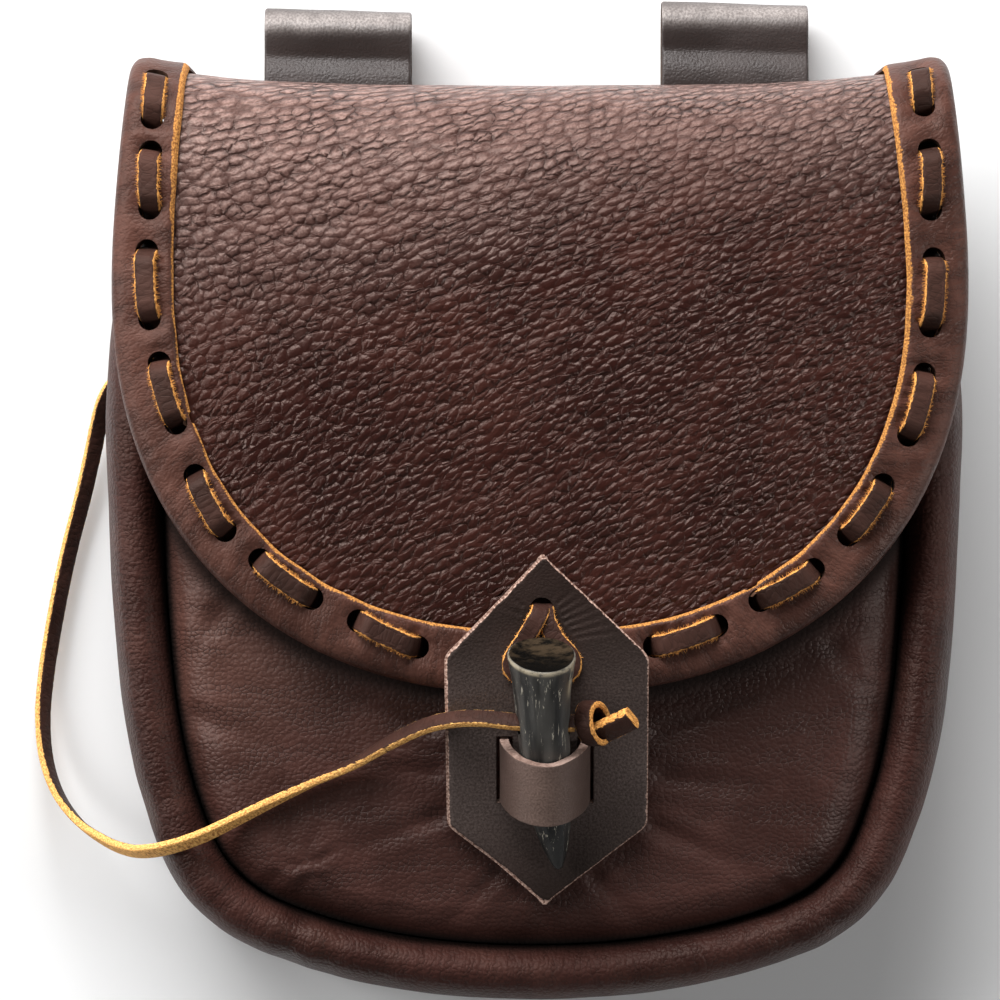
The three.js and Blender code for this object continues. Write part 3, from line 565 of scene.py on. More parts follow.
# the knot: a wrap of lace round its end, and the cut tail
knot = {
    "x": 11.6, "y": -44.6, "z": 63.9, "wide": 4.0, "thick": 1.5, "radius": 3.8, "flat": 0.8,
    "tilt": math.radians(38), "steps": 90, "tailSteps": 60, "tailWide": 4.6, "tailThick": 2.9,
    "tailWidth": (0.62, -0.62, -0.48),
    "tail": [(9.4, -46.4, 62.6), (12.4, -46.6, 63.2), (15.6, -45.2, 64.8), (19.3, -43.4, 66.4)],
}
turn = np.linspace(-0.35 * math.pi, 2.0 * math.pi, knot["steps"])
swell = knot["radius"] - 0.35 * (turn < 0) * (-turn / 1.1)
ringUp = swell * knot["flat"] * np.sin(turn)
wrapLine = stacked(knot["x"] - ringUp * math.sin(knot["tilt"]) - 0.5 * np.cos(turn),
                   knot["y"] + swell * np.cos(turn), knot["z"] + ringUp * math.cos(knot["tilt"]))
wrapWidth = np.tile([math.cos(knot["tilt"]), 0, math.sin(knot["tilt"])], (knot["steps"], 1))
wrap, _, _ = ribbon("wrap", wrapLine, wrapWidth, knot["wide"], knot["thick"], seed=5.2)
tailLine = walk(smoothLine(knot["tail"]), np.linspace(0, 1, knot["tailSteps"]))
tailWidth = np.tile(knot["tailWidth"], (knot["tailSteps"], 1))
tail, _, _ = ribbon("tail", tailLine, tailWidth, knot["tailWide"], knot["tailThick"], seed=8.4, cut=True)
tetherKnot = joined([wrap, tail], "tether_knot_wrap")
dress(tetherKnot, laceSkin)
finished(tetherKnot, "tether_knot", 50)


# body outline that the gusset and both panels follow
body = {
    "outline": [(80.5, 64), (84.3, 43), (86.4, 19), (86.0, -1), (85.1, -22), (82.6, -46), (78.6, -63),
                (71.4, -79), (61.2, -88.6), (45.5, -95.2), (23.5, -99.9), (0, -101.4)],
    "sag": 6, "mouthSlope": 4.5, "wall": 2.0,
}
half = np.array(body["outline"], float)
bodyLine = smoothLine(np.vstack([half * [-1, 1], half[-2::-1]]))
bodyRun = runOf(bodyLine)[-1]


def bodyRim(share):  # left mouth (0), bottom (0.5), right mouth (1): place and outward direction
    at, ahead = edgeAt(bodyLine, share, 0.002)
    return at[:, 0], at[:, 1], ahead[:, 1], -ahead[:, 0]


def rimShare(x, y):
    far = np.hypot(bodyLine[:, 0] - x, bodyLine[:, 1] - y)
    return runOf(bodyLine)[np.argmin(far)] / bodyRun


def sagAt(y):
    return smoothStep(10, 92, -y)


def mouthDrop(y):
    return body["mouthSlope"] * smoothStep(30, 64, y)


insideSuede = fleshSide("inside_suede", (120, 92, 76), (78, 56, 44))
cutEdge = fleshSide("cut_edge", (88, 62, 47), (54, 37, 28))

smoothLook = {
    "base": (76, 43, 36), "dark": (60, 33, 27), "light": (120, 84, 72),
    "creviceShade": (28, 14, 11), "rawDark": (140, 90, 48), "rawLight": (200, 140, 74),
    "cell": 0.0011, "cellHigh": 0.00008, "stretch": 1.25, "crease": 0.3, "dip": 0.15, "rowHigh": 0.00015,
    "gloss": (0.42, 0.56), "patch": 0.03, "specular": 0.3,
}

gusset = {
    "along": 470, "across": 60,
    "section": [  # out, height and share of the sag
        (-11, 31.5, 0), (-11, 36.6, 0), (-9.6, 40.3, 0), (-6.6, 42.3, 0), (-3, 40.9, 0), (-0.8, 36, 0),
        (0, 27, 0.1), (-0.2, 18.5, 0.5), (-1.5, 11.2, 0.9), (-4.2, 6.9, 1), (-7.6, 6, 1),
        (-10.6, 10.4, 1), (-10.6, 14.6, 0.9)],
    "gathers": [  # x, y on the rim, depth, width along it
        (-50, -94, 0.7, 2.2), (-42, -97, 0.35, 2.0), (-66, -85, 0.4, 2.2), (-30, -99, 0.25, 2.4),
        (62, -88, 0.6, 2.2), (70, -80, 0.35, 2.0), (52, -93, 0.35, 2.2), (38, -97, 0.25, 2.6),
        (77, -68, 0.3, 2.4), (-79, -62, 0.3, 2.6), (-84, -36, 0.2, 3.0), (84, -40, 0.2, 3.2),
        (10, -101, 0.2, 3.5)],
}
gussetLine = smoothLine(gusset["section"])


def gussetPlace(u, v):
    x, y, outX, outY = bodyRim(u)
    row = walk(gussetLine, v)
    front = smoothStep(18, 36, row[:, 1]) * mouthDrop(y)
    z = row[:, 1] - front - row[:, 2] * body["sag"] * sagAt(y)
    return stacked(x + outX * row[:, 0], y + outY * row[:, 0], z)


gussetPiece, u, v, at = sheet("gusset_wall", gusset["along"], gusset["across"], gussetPlace, (0, 0, 22))
lay(gussetPiece, u * bodyRun, v * runOf(gussetLine)[-1])
press = 0.3 * blotch(at, 20) + 0.06 * blotch(at, 7, 9.3)
roll = smoothStep(0.06, 0.16, v) * fade(0.3, 0.46, v)
for x, y, deep, wide in gusset["gathers"]:
    away = (u - rimShare(x, y)) * bodyRun
    press -= roll * 0.6 * deep * bell(away, wide)
    press += roll * 0.25 * deep * (bell(away - 2.2 * wide, wide) + bell(away + 2.2 * wide, wide))
press *= smoothStep(0.0, 0.05, v) * fade(0.62, 0.7, v)
pushOut(gussetPiece, press)
mark(gussetPiece, "wearAndPaintedLight", 0.12 * roll * smoothStep(-0.1, 0.5, blotch(at, 9, 4.4)))
# painted shade along the seam groove beside the front panel
mark(gussetPiece, "deep", 0.85 * fade(0.05, 0.15, v))
gussetLook = dict(smoothLook, base=(65, 37, 32), dark=(51, 28, 24), grooves=True, angle=math.pi / 2,
                  drawn=3.0, row=0.0016, rowHigh=0.00022, cellHigh=0.0001, cell=0.0009, crease=0.4)
thicken(gussetPiece, body["wall"], leather("gusset_leather", gussetLook), insideSuede, cutEdge)
settle(gussetPiece)
finished(gussetPiece, "gusset")


# front panel: domed, its edge rolled down into the seam groove
front = {
    "along": 330, "rings": 66, "edgeShare": 0.2, "inset": 11.3, "top": 58,
    "domeLow": 2.5, "domeHigh": 6.4, "spineLow": -48,
    "edge": [(0, 32), (0.5, 36.2), (1.7, 39.2), (3.9, 41.8), (7.6, 43.6)],
    "creases": [  # from x, y to x, y, depth and width: pulled lines round the patch and corners
        (-20, -46, -34, -40, 0.5, 1.5), (-20, -55, -38, -54, 0.45, 1.7), (-19, -64, -36, -70, 0.45, 1.7),
        (25, -47, 40, -42, 0.5, 1.6), (26, -56, 44, -58, 0.4, 1.8), (24, -66, 42, -74, 0.45, 1.7),
        (-8, -76, -18, -86, 0.4, 1.5), (12, -76, 22, -86, 0.4, 1.5), (2, -83, 2, -89, 0.4, 1.6),
        (-44.6, -73.6, -39, -70, 0.45, 1.0), (-47.2, -74, -53, -72.4, 0.42, 1.0),
        (-45.4, -72.4, -43.6, -66, 0.42, 1.0), (-46, -76.4, -47.4, -82, 0.42, 1.0),
        (-44.2, -75.8, -39, -80, 0.42, 1.0), (-58, -10, -44, -26, 0.7, 2.6), (-64, -24, -48, -34, 0.6, 2.6),
        (-68, -44, -52, -50, 0.5, 2.2), (56, -12, 46, -28, 0.5, 2.4), (-60, -20, -72, -36, 0.35, 1.6),
        (60, -30, 72, -46, 0.35, 1.8), (-52, -76, -60, -84, 0.4, 1.4), (50, -78, 58, -85, 0.4, 1.4)],
}
frontEdgeLine = smoothLine(front["edge"])


def panelSpine(edgeY):
    low = half[-1, 1] + front["inset"]
    return np.maximum(edgeY, 0) + np.minimum(edgeY, 0) / low * front["spineLow"]


def insetRim(share, inset):
    x, y, outX, outY = bodyRim(share)
    return x - outX * inset, y - outY * inset


def firstShare(top, inset):
    share = np.linspace(0, 0.3, 3000)
    return share[np.argmax(insetRim(share, inset)[1] <= top)]


frontFirst = firstShare(front["top"], front["inset"])


def frontPlace(u, v):
    x0, y0 = insetRim(lerp(frontFirst, 1 - frontFirst, u), front["inset"])
    y1 = panelSpine(y0)
    length = np.hypot(x0, y1 - y0)
    edge = walk(frontEdgeLine, np.minimum(1, v / front["edgeShare"]))
    inside = np.maximum(0, v - front["edgeShare"]) / (1 - front["edgeShare"])
    share = lerp(edge[:, 0], length, inside) / length
    x, y = x0 * (1 - share), lerp(y0, y1, share)
    dome = lerp(front["domeLow"], front["domeHigh"], smoothStep(-46, 4, y)) * (1 - (1 - inside) ** 2)
    return stacked(x, y, edge[:, 1] + dome - mouthDrop(y))


def creased(at, rows):  # soft valleys along short lines
    total = np.zeros(len(at))
    for x0, y0, x1, y1, deep, wide in rows:
        near, off = toLine(at[:, :2], np.array([x0, y0]), np.array([x1, y1]))
        deep = deep * (1 - 0.8 * near)
        total += deep * (0.35 * bell(off - 2 * wide, wide) - bell(off, wide))
    return total


frontPiece, u, v, at = sheet("front_wall", front["along"], front["rings"], frontPlace, (0, 0, 0))
lay(frontPiece, at[:, 0], at[:, 1])
flat = smoothStep(0.02, 0.16, v)
press = 1.35 * creased(at, front["creases"]) + 0.35 * blotch(at, 22, 2.2) + 0.12 * blotch(at, 7, 5.1)
pushOut(frontPiece, press * flat)
# painted highlight: a paler spot on the front's left, where the side light catches it
mark(frontPiece, "wearAndPaintedLight", 0.4 * bell(at[:, 0] + 62, 22) * bell(at[:, 1] + 28, 24))
weld(frontPiece, False)
frontLook = dict(smoothLook, base=(74, 43, 37), dark=(58, 33, 28), cell=0.0009, cellHigh=0.00008,
                 crease=0.5, stretch=1.3, warp=0.0008, specular=0.48, gloss=(0.4, 0.54), grooves=True,
                 sheen=(1, 0.86, 0.8, 1))
thicken(frontPiece, body["wall"], leather("front_leather", frontLook), insideSuede, cutEdge)
finished(frontPiece, "front_panel")


# back panel: plain, behind the belt loops
back = {"along": 160, "rings": 36, "z": 10.8, "sag": 5, "inset": 10.9, "top": 69}


def backPlace(u, v):
    x0, y0 = insetRim(u, back["inset"])
    corner = smoothStep(0.012, 0, np.minimum(u, 1 - u))
    x0 = x0 - np.sign(x0) * 2 * corner
    y = lerp(y0, panelSpine(y0), v)
    y = y + (back["top"] - y) * (np.minimum(u, 1 - u) < 1e-6)
    return stacked(x0 * (1 - v), y, back["z"] - back["sag"] * sagAt(y))


backPiece, u, v, at = sheet("back_wall", back["along"], back["rings"], backPlace, (0, 0, 30))
lay(backPiece, at[:, 0], at[:, 1])
weld(backPiece, False)
thicken(backPiece, body["wall"], leather("back_leather", smoothLook), insideSuede, cutEdge)
finished(backPiece, "back_panel")


# flap: a middle line over the fold, and a rounded edge
flap = {
    "along": 470, "rings": 82, "wall": 2.0, "inset": 2.4,
    "profile": [
        (57, 14.2), (64, 14.2), (71, 14.9), (78.2, 19), (82.3, 28), (79.6, 38.2), (70, 46.2), (52, 51.2),
        (30, 53.4), (5, 54.0), (-20, 53.4), (-44, 52.0)],
    "centre": 1.15, "half": 85.6, "bottom": -39.3, "roundY": 44, "power": 2.28,
    "foldHalf": 82.4, "backHalf": 69, "lift": 5, "drop": 7, "spineY": 2,
}
flapLine = smoothLine(flap["profile"], 60)
flapRun = runOf(flapLine)


def flapV(y):  # how far down the middle line the front reaches y
    fold = np.argmax(flapLine[:, 0])
    return np.interp(-y, -flapLine[fold:, 0], flapRun[fold:])


foldV = flapRun[np.argmax(flapLine[:, 0])]
roundV, endV, spineV0 = flapV(flap["roundY"]), flapV(flap["bottom"]), flapV(flap["spineY"])


def flapPoint(x, v):
    y = np.interp(v, flapRun, flapLine[:, 0])
    z = np.interp(v, flapRun, flapLine[:, 1])
    share = np.minimum(1.2, np.abs(x - flap["centre"]) / flap["half"])
    nearFold = smoothStep(8, foldV - 4, v) * fade(foldV + 6, roundV, v)
    onFront = smoothStep(foldV - 2, roundV, v)
    return stacked(x, y + flap["lift"] * nearFold * share ** 4, z - flap["drop"] * onFront * share ** 3)


def flapNormal(x, v):
    across = flapPoint(x + 0.3, v) - flapPoint(x - 0.3, v)
    down = flapPoint(x, v + 0.3) - flapPoint(x, v - 0.3)
    return unit(np.cross(down, across))


def edgeRows():
    v = np.arange(0, roundV, 1.5)
    fold = lerp(flap["backHalf"], flap["foldHalf"], smoothStep(0, foldV, v))
    wide = lerp(fold, flap["half"], smoothStep(foldV, roundV, v))
    angle = np.linspace(0, math.pi / 2, 90)
    x = flap["half"] * np.maximum(np.cos(angle), 0) ** (2 / flap["power"])
    low = roundV + (endV - roundV) * np.sin(angle) ** (2 / flap["power"])
    x[-1] = 0
    return np.vstack([stacked(wide, v), stacked(x, low)])


rightEdge = edgeRows()
edgeLine = smoothLine(np.vstack([rightEdge, rightEdge[-2::-1] * [-1, 1]]), 6)


def flapEdge(share, inset):  # right sewn end (0), lower middle (0.5), left sewn end (1)
    at, ahead = edgeAt(edgeLine, share, 0.0015)
    return flap["centre"] + at[:, 0] - ahead[:, 1] * inset, at[:, 1] + ahead[:, 0] * inset


def flapStation(share, inset, height):
    x, v = flapEdge(share, inset)
    return flapPoint(x, v) + flapNormal(x, v) * np.asarray(height)[..., None]


def flapSpot(u, v):  # across the flap and down its middle line
    x0, v0 = flapEdge(u, flap["inset"])
    _, outerV = flapEdge(u, 0)
    below = np.maximum(0, outerV - roundV) / (endV - roundV)
    v1 = np.minimum(outerV, roundV) + below * (spineV0 - roundV)
    return lerp(x0, flap["centre"], v), lerp(v0, v1, v)


def flapPlace(u, v):
    x, down = flapSpot(u, v)
    return flapPoint(x, down) + flapNormal(x, down) * flap["wall"] / 2


# lacing: over and under through pairs of holes along the flap's edge
lacing = {
    "steps": 1150, "fibres": 7000, "wide": 4.2, "thick": 1.25, "hole": 2.35, "over": 4.0, "under": -2.3,
    "holes": [  # along the edge from its right sewn end, and in from it; the left top comes first
        (397.7, 5.5), (388.1, 6.0), (381.9, 6.5), (371.5, 7.5), (363.1, 7.5), (348.9, 8.0), (339.1, 9.0),
        (325.3, 9.5), (312.6, 9.0), (298.6, 8.0), (288.3, 9.0), (273.7, 9.0), (262.0, 9.0), (248.0, 7.5),
        (197.5, 8.0), (183.2, 8.5), (172.0, 9.5), (158.1, 8.5), (146.9, 8.5), (133.2, 8.5), (120.7, 8.0),
        (106.9, 8.0), (96.4, 8.0), (82.3, 7.5), (72.4, 7.5), (61.5, 6.5), (53.0, 6.5), (44.5, 6.0)],
}
edgeRun = runOf(edgeLine)[-1]
holes = np.array(lacing["holes"]) / [edgeRun, 1]
holeMids = flapStation(holes[:, 0], holes[:, 1], 0)
holeWays = flapNormal(*flapEdge(holes[:, 0], holes[:, 1]))


def punchRound(piece, radius):  # round holes through a sheet at the stitch ends
    def holeRadius(at):
        best, toward = np.full(len(at), 99.0), np.zeros_like(at)
        axis = np.zeros_like(at)
        for mid, way in zip(holeMids, holeWays):
            off = at - mid
            high = off @ way
            flat = off - high[:, None] * way
            r = np.where(np.abs(high) < 6, np.linalg.norm(flat, axis=1), 99)
            near = r < best
            best[near], toward[near] = r[near], flat[near]
            axis[near] = (at - flat)[near]
        return best, toward, axis

    centres = np.empty(len(piece.data.polygons) * 3)
    piece.data.polygons.foreach_get("center", centres)
    cut = holeRadius(centres.reshape(-1, 3) / mm)[0] < radius
    choose(piece)
    bpy.context.tool_settings.mesh_select_mode = (False, False, True)
    bpy.ops.object.mode_set(mode="EDIT")
    bpy.ops.mesh.select_all(action="DESELECT")
    bpy.ops.object.mode_set(mode="OBJECT")
    piece.data.polygons.foreach_set("select", cut)
    bpy.ops.object.mode_set(mode="EDIT")
    bpy.ops.mesh.delete(type="FACE")
    bpy.ops.object.mode_set(mode="OBJECT")
    bpy.context.tool_settings.mesh_select_mode = (True, False, False)
    loops = np.empty(len(piece.data.loops), int)
    piece.data.loops.foreach_get("edge_index", loops)
    ends = np.empty(len(piece.data.edges) * 2, int)
    piece.data.edges.foreach_get("vertices", ends)
    lone = ends.reshape(-1, 2)[np.bincount(loops, minlength=len(piece.data.edges)) == 1]
    rimmed = np.zeros(len(piece.data.vertices), bool)
    rimmed[lone.ravel()] = True
    at = placesOf(piece)
    r, toward, axis = holeRadius(at)
    snap = rimmed & (r < radius * 1.5)
    at[snap] = axis[snap] + unit(toward[snap]) * radius
    moveTo(piece, at)


def nearHoles(at):
    return np.min([np.linalg.norm(at - mid, axis=1) for mid in holeMids], axis=0)


def nearStitches(at):
    return np.min([toLine(at, a, b)[1] for a, b in zip(holeMids[0::2], holeMids[1::2])], axis=0)


# painted shade: the front is painted darker under the flap's edge and in its seam, where shade falls
rimLine = flapStation(np.linspace(0, 1, 600), 0, 0)
rimLine = rimLine[rimLine[:, 2] > 36]
at = placesOf(frontPiece)
nearest = rimLine[np.argmin(np.hypot(at[:, :1] - rimLine[:, 0], at[:, 1:2] - rimLine[:, 1]), axis=1)]
outward = unit(nearest[:, :2] - np.array([0, 40.0]))
beyond = ((at - nearest)[:, :2] * outward).sum(axis=1)
# painted shade mask under the flap's edge and along the seam
mark(frontPiece, "deep", 0.85 * np.maximum(fade(0.6, 4.6, beyond), fade(36, 41, at[:, 2])))

flapPiece, u, v, at = sheet("flap_leather_sheet", flap["along"], flap["rings"], flapPlace, (0, 0, 20))
x, down = flapSpot(u, v)
grainRise = np.radians(lerp(16, 25, smoothStep(foldV, foldV + 110, down)))  # the grain runs up to the right
drawn = lerp(0.66, 0.86, smoothStep(-40, 40, x))  # longer cells towards the fold
drawn = lerp(drawn, 1, smoothStep(foldV + 10, foldV + 80, down))
lay(flapPiece, x * drawn, -down - np.tan(grainRise) * x)
skew = at @ np.array([[0.32, -0.1, 0], [0.11, 0.95, 0], [0, 0, 0.95]])
press = 0.32 * blotch(at, 24, 1.7) + 0.14 * blotch(skew, 5.5, 3.9) + 0.07 * blotch(skew, 2.6, 6.4)
inner = smoothStep(9.5, 14, nearStitches(at))
sheenReach = foldV + lerp(74, 44, smoothStep(-60, 30, x))  # painted sheen: the fold is painted paler where light from above and the left catches it, furthest down on the left
mark(flapPiece, "wearAndPaintedLight", 0.82 * fade(foldV - 4, sheenReach, down))
pushOut(flapPiece, press * inner)
weld(flapPiece, False)
# light is the colour of the painted sheen on the fold
flapLook = dict(
    smoothLook, base=(56, 26, 20), dark=(44, 19, 15), light=(160, 129, 120),
    cell=0.00178, cellHigh=0.00022, stretch=1.45, crease=0.55, edge=0.28, crackHigh=0.00018, drawn=3.0,
    row=0.0036, rowHigh=0.0001, dip=0.2, dustHigh=0.00006, gloss=(0.28, 0.36), specular=0.5, warp=0.0014,
    ends=0.22, lines=0.3, tilt=0.07, sheenTops=True, sheen=(1, 0.78, 0.7, 1))
flapSuede = fleshSide("flap_suede", (128, 96, 78), (84, 60, 46))
punchRound(flapPiece, lacing["hole"] + 0.2)
thicken(flapPiece, flap["wall"], leather("flap_leather", flapLook), flapSuede, cutEdge)
finished(flapPiece, "flap")

# binding: a strip folded round the flap's edge, its inner edge left raw
binding = {
    "along": 640, "across": 40, "startV": 23, "thick": 1.4,
    "section": [
        (12.9, 1.75), (12.75, 2.1), (12.2, 2.75), (10.8, 2.95), (6, 2.95), (2.8, 2.9), (0.9, 2.1), (0, 0),
        (0.9, -2.1), (2.4, -2.6), (4.4, -2.75)],
}
bindingLine = smoothLine(binding["section"])
edgeShares = np.linspace(0, 0.3, 4000)
bindingFirst = edgeShares[np.argmax(flapEdge(edgeShares, 0)[1] >= binding["startV"])]


def bindingPlace(u, v):
    row = walk(bindingLine, v)
    share = lerp(bindingFirst, 1 - bindingFirst, u)
    waver = blotch(stacked(share * edgeRun / 9, 3.3, 1))
    inset = row[:, 0] + 0.16 * waver * smoothStep(9, 12.5, row[:, 0])
    above = smoothStep(foldV + 60, foldV, flapEdge(share, 0)[1]) * (share > 0.5)
    inset = inset - 1.5 * above * smoothStep(9, 12.5, row[:, 0])  # narrower over the fold on the left
    return flapStation(share, inset, row[:, 1])


bindingPiece, u, v, at = sheet("binding_strip", binding["along"], binding["across"], bindingPlace, (0, 0, 20))
row = walk(bindingLine, v)
lay(bindingPiece, u * edgeRun, v * runOf(bindingLine)[-1])
top = smoothStep(1.2, 2.6, row[:, 1])
press = 0.16 * blotch(at, 8, 2.6) + 0.08 * blotch(at, 3, 8.1)
press -= 0.75 * bell(np.maximum(0, nearHoles(at) - 2.2), 2.2)
press -= 0.35 * bell(nearStitches(at), 3.2)
bindingShare = lerp(bindingFirst, 1 - bindingFirst, u)
pulled = blotch(stacked(bindingShare * edgeRun / 1.3, row[:, 0] / 9, 5.5))
pulled *= smoothStep(7.6, 9.2, row[:, 0]) * fade(11.2, 12.2, row[:, 0])  # drawn in beside the stitches
press -= 0.8 * np.maximum(0, pulled) * fade(3.5, 6.0, nearStitches(at))
pushOut(bindingPiece, press * top)
thin = 12.2 + 0.18 * blotch(at, 2.5, 4.7) - np.where(
    at[:, 0] < 0, 1.4 * smoothStep(48, 76, at[:, 1]) - 0.25 * smoothStep(-20, 10, at[:, 1]),
    0.45 * smoothStep(0, 40, at[:, 1]))
onFront = smoothStep(foldV - 5, foldV + 1, flapEdge(bindingShare, 0)[1])
mark(bindingPiece, "raw", np.maximum(smoothStep(thin, thin + 0.4, row[:, 0]) * (row[:, 1] > 0) * onFront,
                                     0.62 * fade(2.5, 3.4, nearHoles(at)) * top))
mark(bindingPiece, "wearAndPaintedLight", 0.12 * smoothStep(0.1, 0.6, blotch(at, 5, 7.7)) * top)
bindingLook = dict(smoothLook, base=(86, 54, 45), dark=(66, 40, 33), gloss=(0.38, 0.52),
                   cell=0.0008, cellHigh=0.00005, crease=0.4, faint=0.9, stretch=1.5, angle=1.2, row=0.0028,
                   drawn=2.5, rowHigh=0.00022, dip=0.25, specular=0.4, dustHigh=0.00007, patch=0.014)
punchRound(bindingPiece, lacing["hole"])
thicken(bindingPiece, binding["thick"], leather("binding_leather", bindingLook), insideSuede, cutEdge)
finished(bindingPiece, "flap_binding")


# the lace itself, over and under through the holes
def laceLine():
    rows = []
    ends = holes[::-1]  # from the right end round to the left
    step = 1.0 / edgeRun
    for i, (share, inset) in enumerate(ends):
        over = i % 2 == 0
        before, after = (lacing["under"], lacing["over"]) if over else (lacing["over"], lacing["under"])
        if i > 0:
            rows.append((share - 2.0 * step, inset, before))
        rows.append((share - 0.35 * step, inset, lerp(before, after, 0.3)))
        rows.append((share + 0.35 * step, inset, lerp(before, after, 0.7)))
        if i < len(ends) - 1:
            rows.append((share + 2.0 * step, inset, after))
            nextShare, nextInset = ends[i + 1]
            for t in (0.35, 0.65):
                rows.append((lerp(share, nextShare, t), lerp(inset, nextInset, t), after + 0.25 * over))
    share, inset, rise = np.array(rows).T
    inward = flapStation(share, inset + 1, 0) - flapStation(share, inset - 1, 0)
    return evenRows(smoothLine(flapStation(share, inset, rise), 8), inward, lacing["steps"])


def edgeFibres(name, line, across, up, wide, count, low=0.25, high=0.7, keep=None):
    roots, ways, lengths = [], [], []
    for _ in range(count):
        i = random.randrange(2, len(line) - 2)
        if keep is not None and not keep[i]:
            continue
        side = random.choice((-1, 1))
        root = line[i] + across[i] * side * (wide / 2 - 0.12) + up[i] * random.uniform(-0.35, 0.4)
        way = across[i] * side + up[i] * random.uniform(-0.3, 0.8)
        way = way + unit(line[i + 1] - line[i - 1]) * random.uniform(-0.9, 0.9)
        roots.append(root)
        ways.append(unit(way))
        lengths.append(random.uniform(low, high))
    return fibres(name, roots, ways, lengths)


lacePath, laceWidth = laceLine()
laceStrip, across, up = ribbon("lace_strip", lacePath, laceWidth, lacing["wide"], lacing["thick"],
                               around=18, ragged=0.2, seed=1.3)
onTop = nearStitches(lacePath) > lacing["over"] * 0.62
laceFuzz = edgeFibres("lace_fuzz", lacePath, across, up, lacing["wide"], lacing["fibres"], 0.3, 0.95, onTop)
lacePiece = joined([laceStrip, laceFuzz], "flap_lace")
dress(lacePiece, laceSkin)
finished(lacePiece, "flap_lacing", 50)


# closure patch: a hexagon over the flap's lower edge, with slots and a tie hole
patch = {
    "across": 110, "down": 190, "thick": 2.2, "holeX": 1.4, "holeY": (-22.2, -38.4), "hole": 2.4,
    "drill": 9, "drillZ": 57,
    "rows": [
        (-11.3, 56.2, 1.5, 1.6), (-21, 57.0, -7.8, 11.9), (-31.4, 57.5, -17.9, 22.7),
        (-39.5, 57.2, -17.8, 22.6), (-46, 55.2, -17.7, 22.6), (-54, 52.2, -17.6, 22.6),
        (-61, 49.8, -17.5, 22.6), (-65.6, 48.5, -17.4, 22.5), (-73, 47.0, -7.6, 12.8),
        (-81.3, 46.2, 2, 2.1)],
    "wrinkles": [  # drawn lines beside the tie hole, as in the front's creases
        (4.6, -21.0, 7.6, -18.4, 0.16, 0.36), (5.2, -22.2, 9.4, -19.6, 0.2, 0.36),
        (5.6, -23.4, 11.0, -20.6, 0.2, 0.36), (6.0, -24.6, 12.6, -22.0, 0.2, 0.36),
        (7.0, -25.6, 14.2, -23.2, 0.18, 0.36), (7.6, -26.8, 15.4, -24.8, 0.18, 0.36),
        (8.6, -27.8, 16.6, -26.6, 0.16, 0.36), (-2.4, -21.4, -5.4, -19.0, 0.12, 0.36),
        (-3.0, -23.0, -8.0, -21.2, 0.1, 0.4)],
}
loop = {"x": 2.1, "y": -56, "z": 58.6, "lean": math.radians(20), "outer": 9, "strap": 1.9, "high": 13,
        "foot": 46.9, "clear": 0.6, "rise": 13.5, "sink": 5.6, "legs": 2.6, "arc": 36.0, "length": 41,
        "along": 110, "across": 34, "slot": 24, "slotLow": 6}
patchRows = np.array(patch["rows"], float)
patchSpine = smoothLine(patchRows[:, :2])


def patchHeight(y):
    return np.interp(-y, -patchSpine[:, 0], patchSpine[:, 1])


def patchPlace(u, v):
    y = lerp(patchRows[0, 0], patchRows[-1, 0], v)
    left, right = 0, 0
    for shift in (-1.0, -0.5, 0, 0.5, 1.0):  # corners slightly rounded
        left = left + np.interp(-(y + shift), -patchRows[:, 0], patchRows[:, 2]) / 5
        right = right + np.interp(-(y + shift), -patchRows[:, 0], patchRows[:, 3]) / 5
    z = patchHeight(y) + patch["thick"] / 2
    return stacked(lerp(left, right, u), y, z)


patchPiece, u, v, at = sheet("patch_plate", patch["across"], patch["down"], patchPlace, (0, -40, 0))
lay(patchPiece, at[:, 0], at[:, 1])
wide = np.interp(-at[:, 1], -patchRows[:, 0], patchRows[:, 3] - patchRows[:, 2])
slant = np.where(np.abs(at[:, 1] + 48.5) < 17.1, 1.0, 0.72)  # across the edge where it runs aslant
leftRim, rightRim = u * wide * slant, (1 - u) * wide * slant
cut = np.maximum(fade(0.35, 0.8, leftRim + 0.2 * blotch(at, 1.2, 3.3)),
                 fade(0.1, 0.45, rightRim + 0.2 * blotch(at, 1.2, 5.3)))
cut[np.abs(at[:, 1] + 46.3) > 34.2] = 0.7  # at both points
mark(patchPiece, "raw", 1.2 * cut)
# painted light: the lower half of the patch is painted paler, as lit with a greyish sheen
mark(patchPiece, "wearAndPaintedLight", 0.72 * bell(at[:, 1] + 54, 17))
pushOut(patchPiece, 0.12 * blotch(at, 11, 4.1) + 0.05 * blotch(at, 4, 1.9) - 0.45 * cut
        + creased(at, patch["wrinkles"]))
patchLook = dict(
    smoothLook, base=(35, 24, 21), dark=(28, 20, 17), light=(122, 108, 103),
    rawDark=(120, 90, 78), rawLight=(190, 160, 146), cell=0.0006, cellHigh=0.00003, gloss=(0.46, 0.56),
    patch=0.02, dip=0.08, rowHigh=0.00005, specular=0.22, crease=0.0, crackHigh=0.0)
paleCut = fleshSide("pale_cut_edge", (176, 150, 138), (112, 88, 78))
thicken(patchPiece, patch["thick"], leather("patch_leather", patchLook), insideSuede, paleCut)


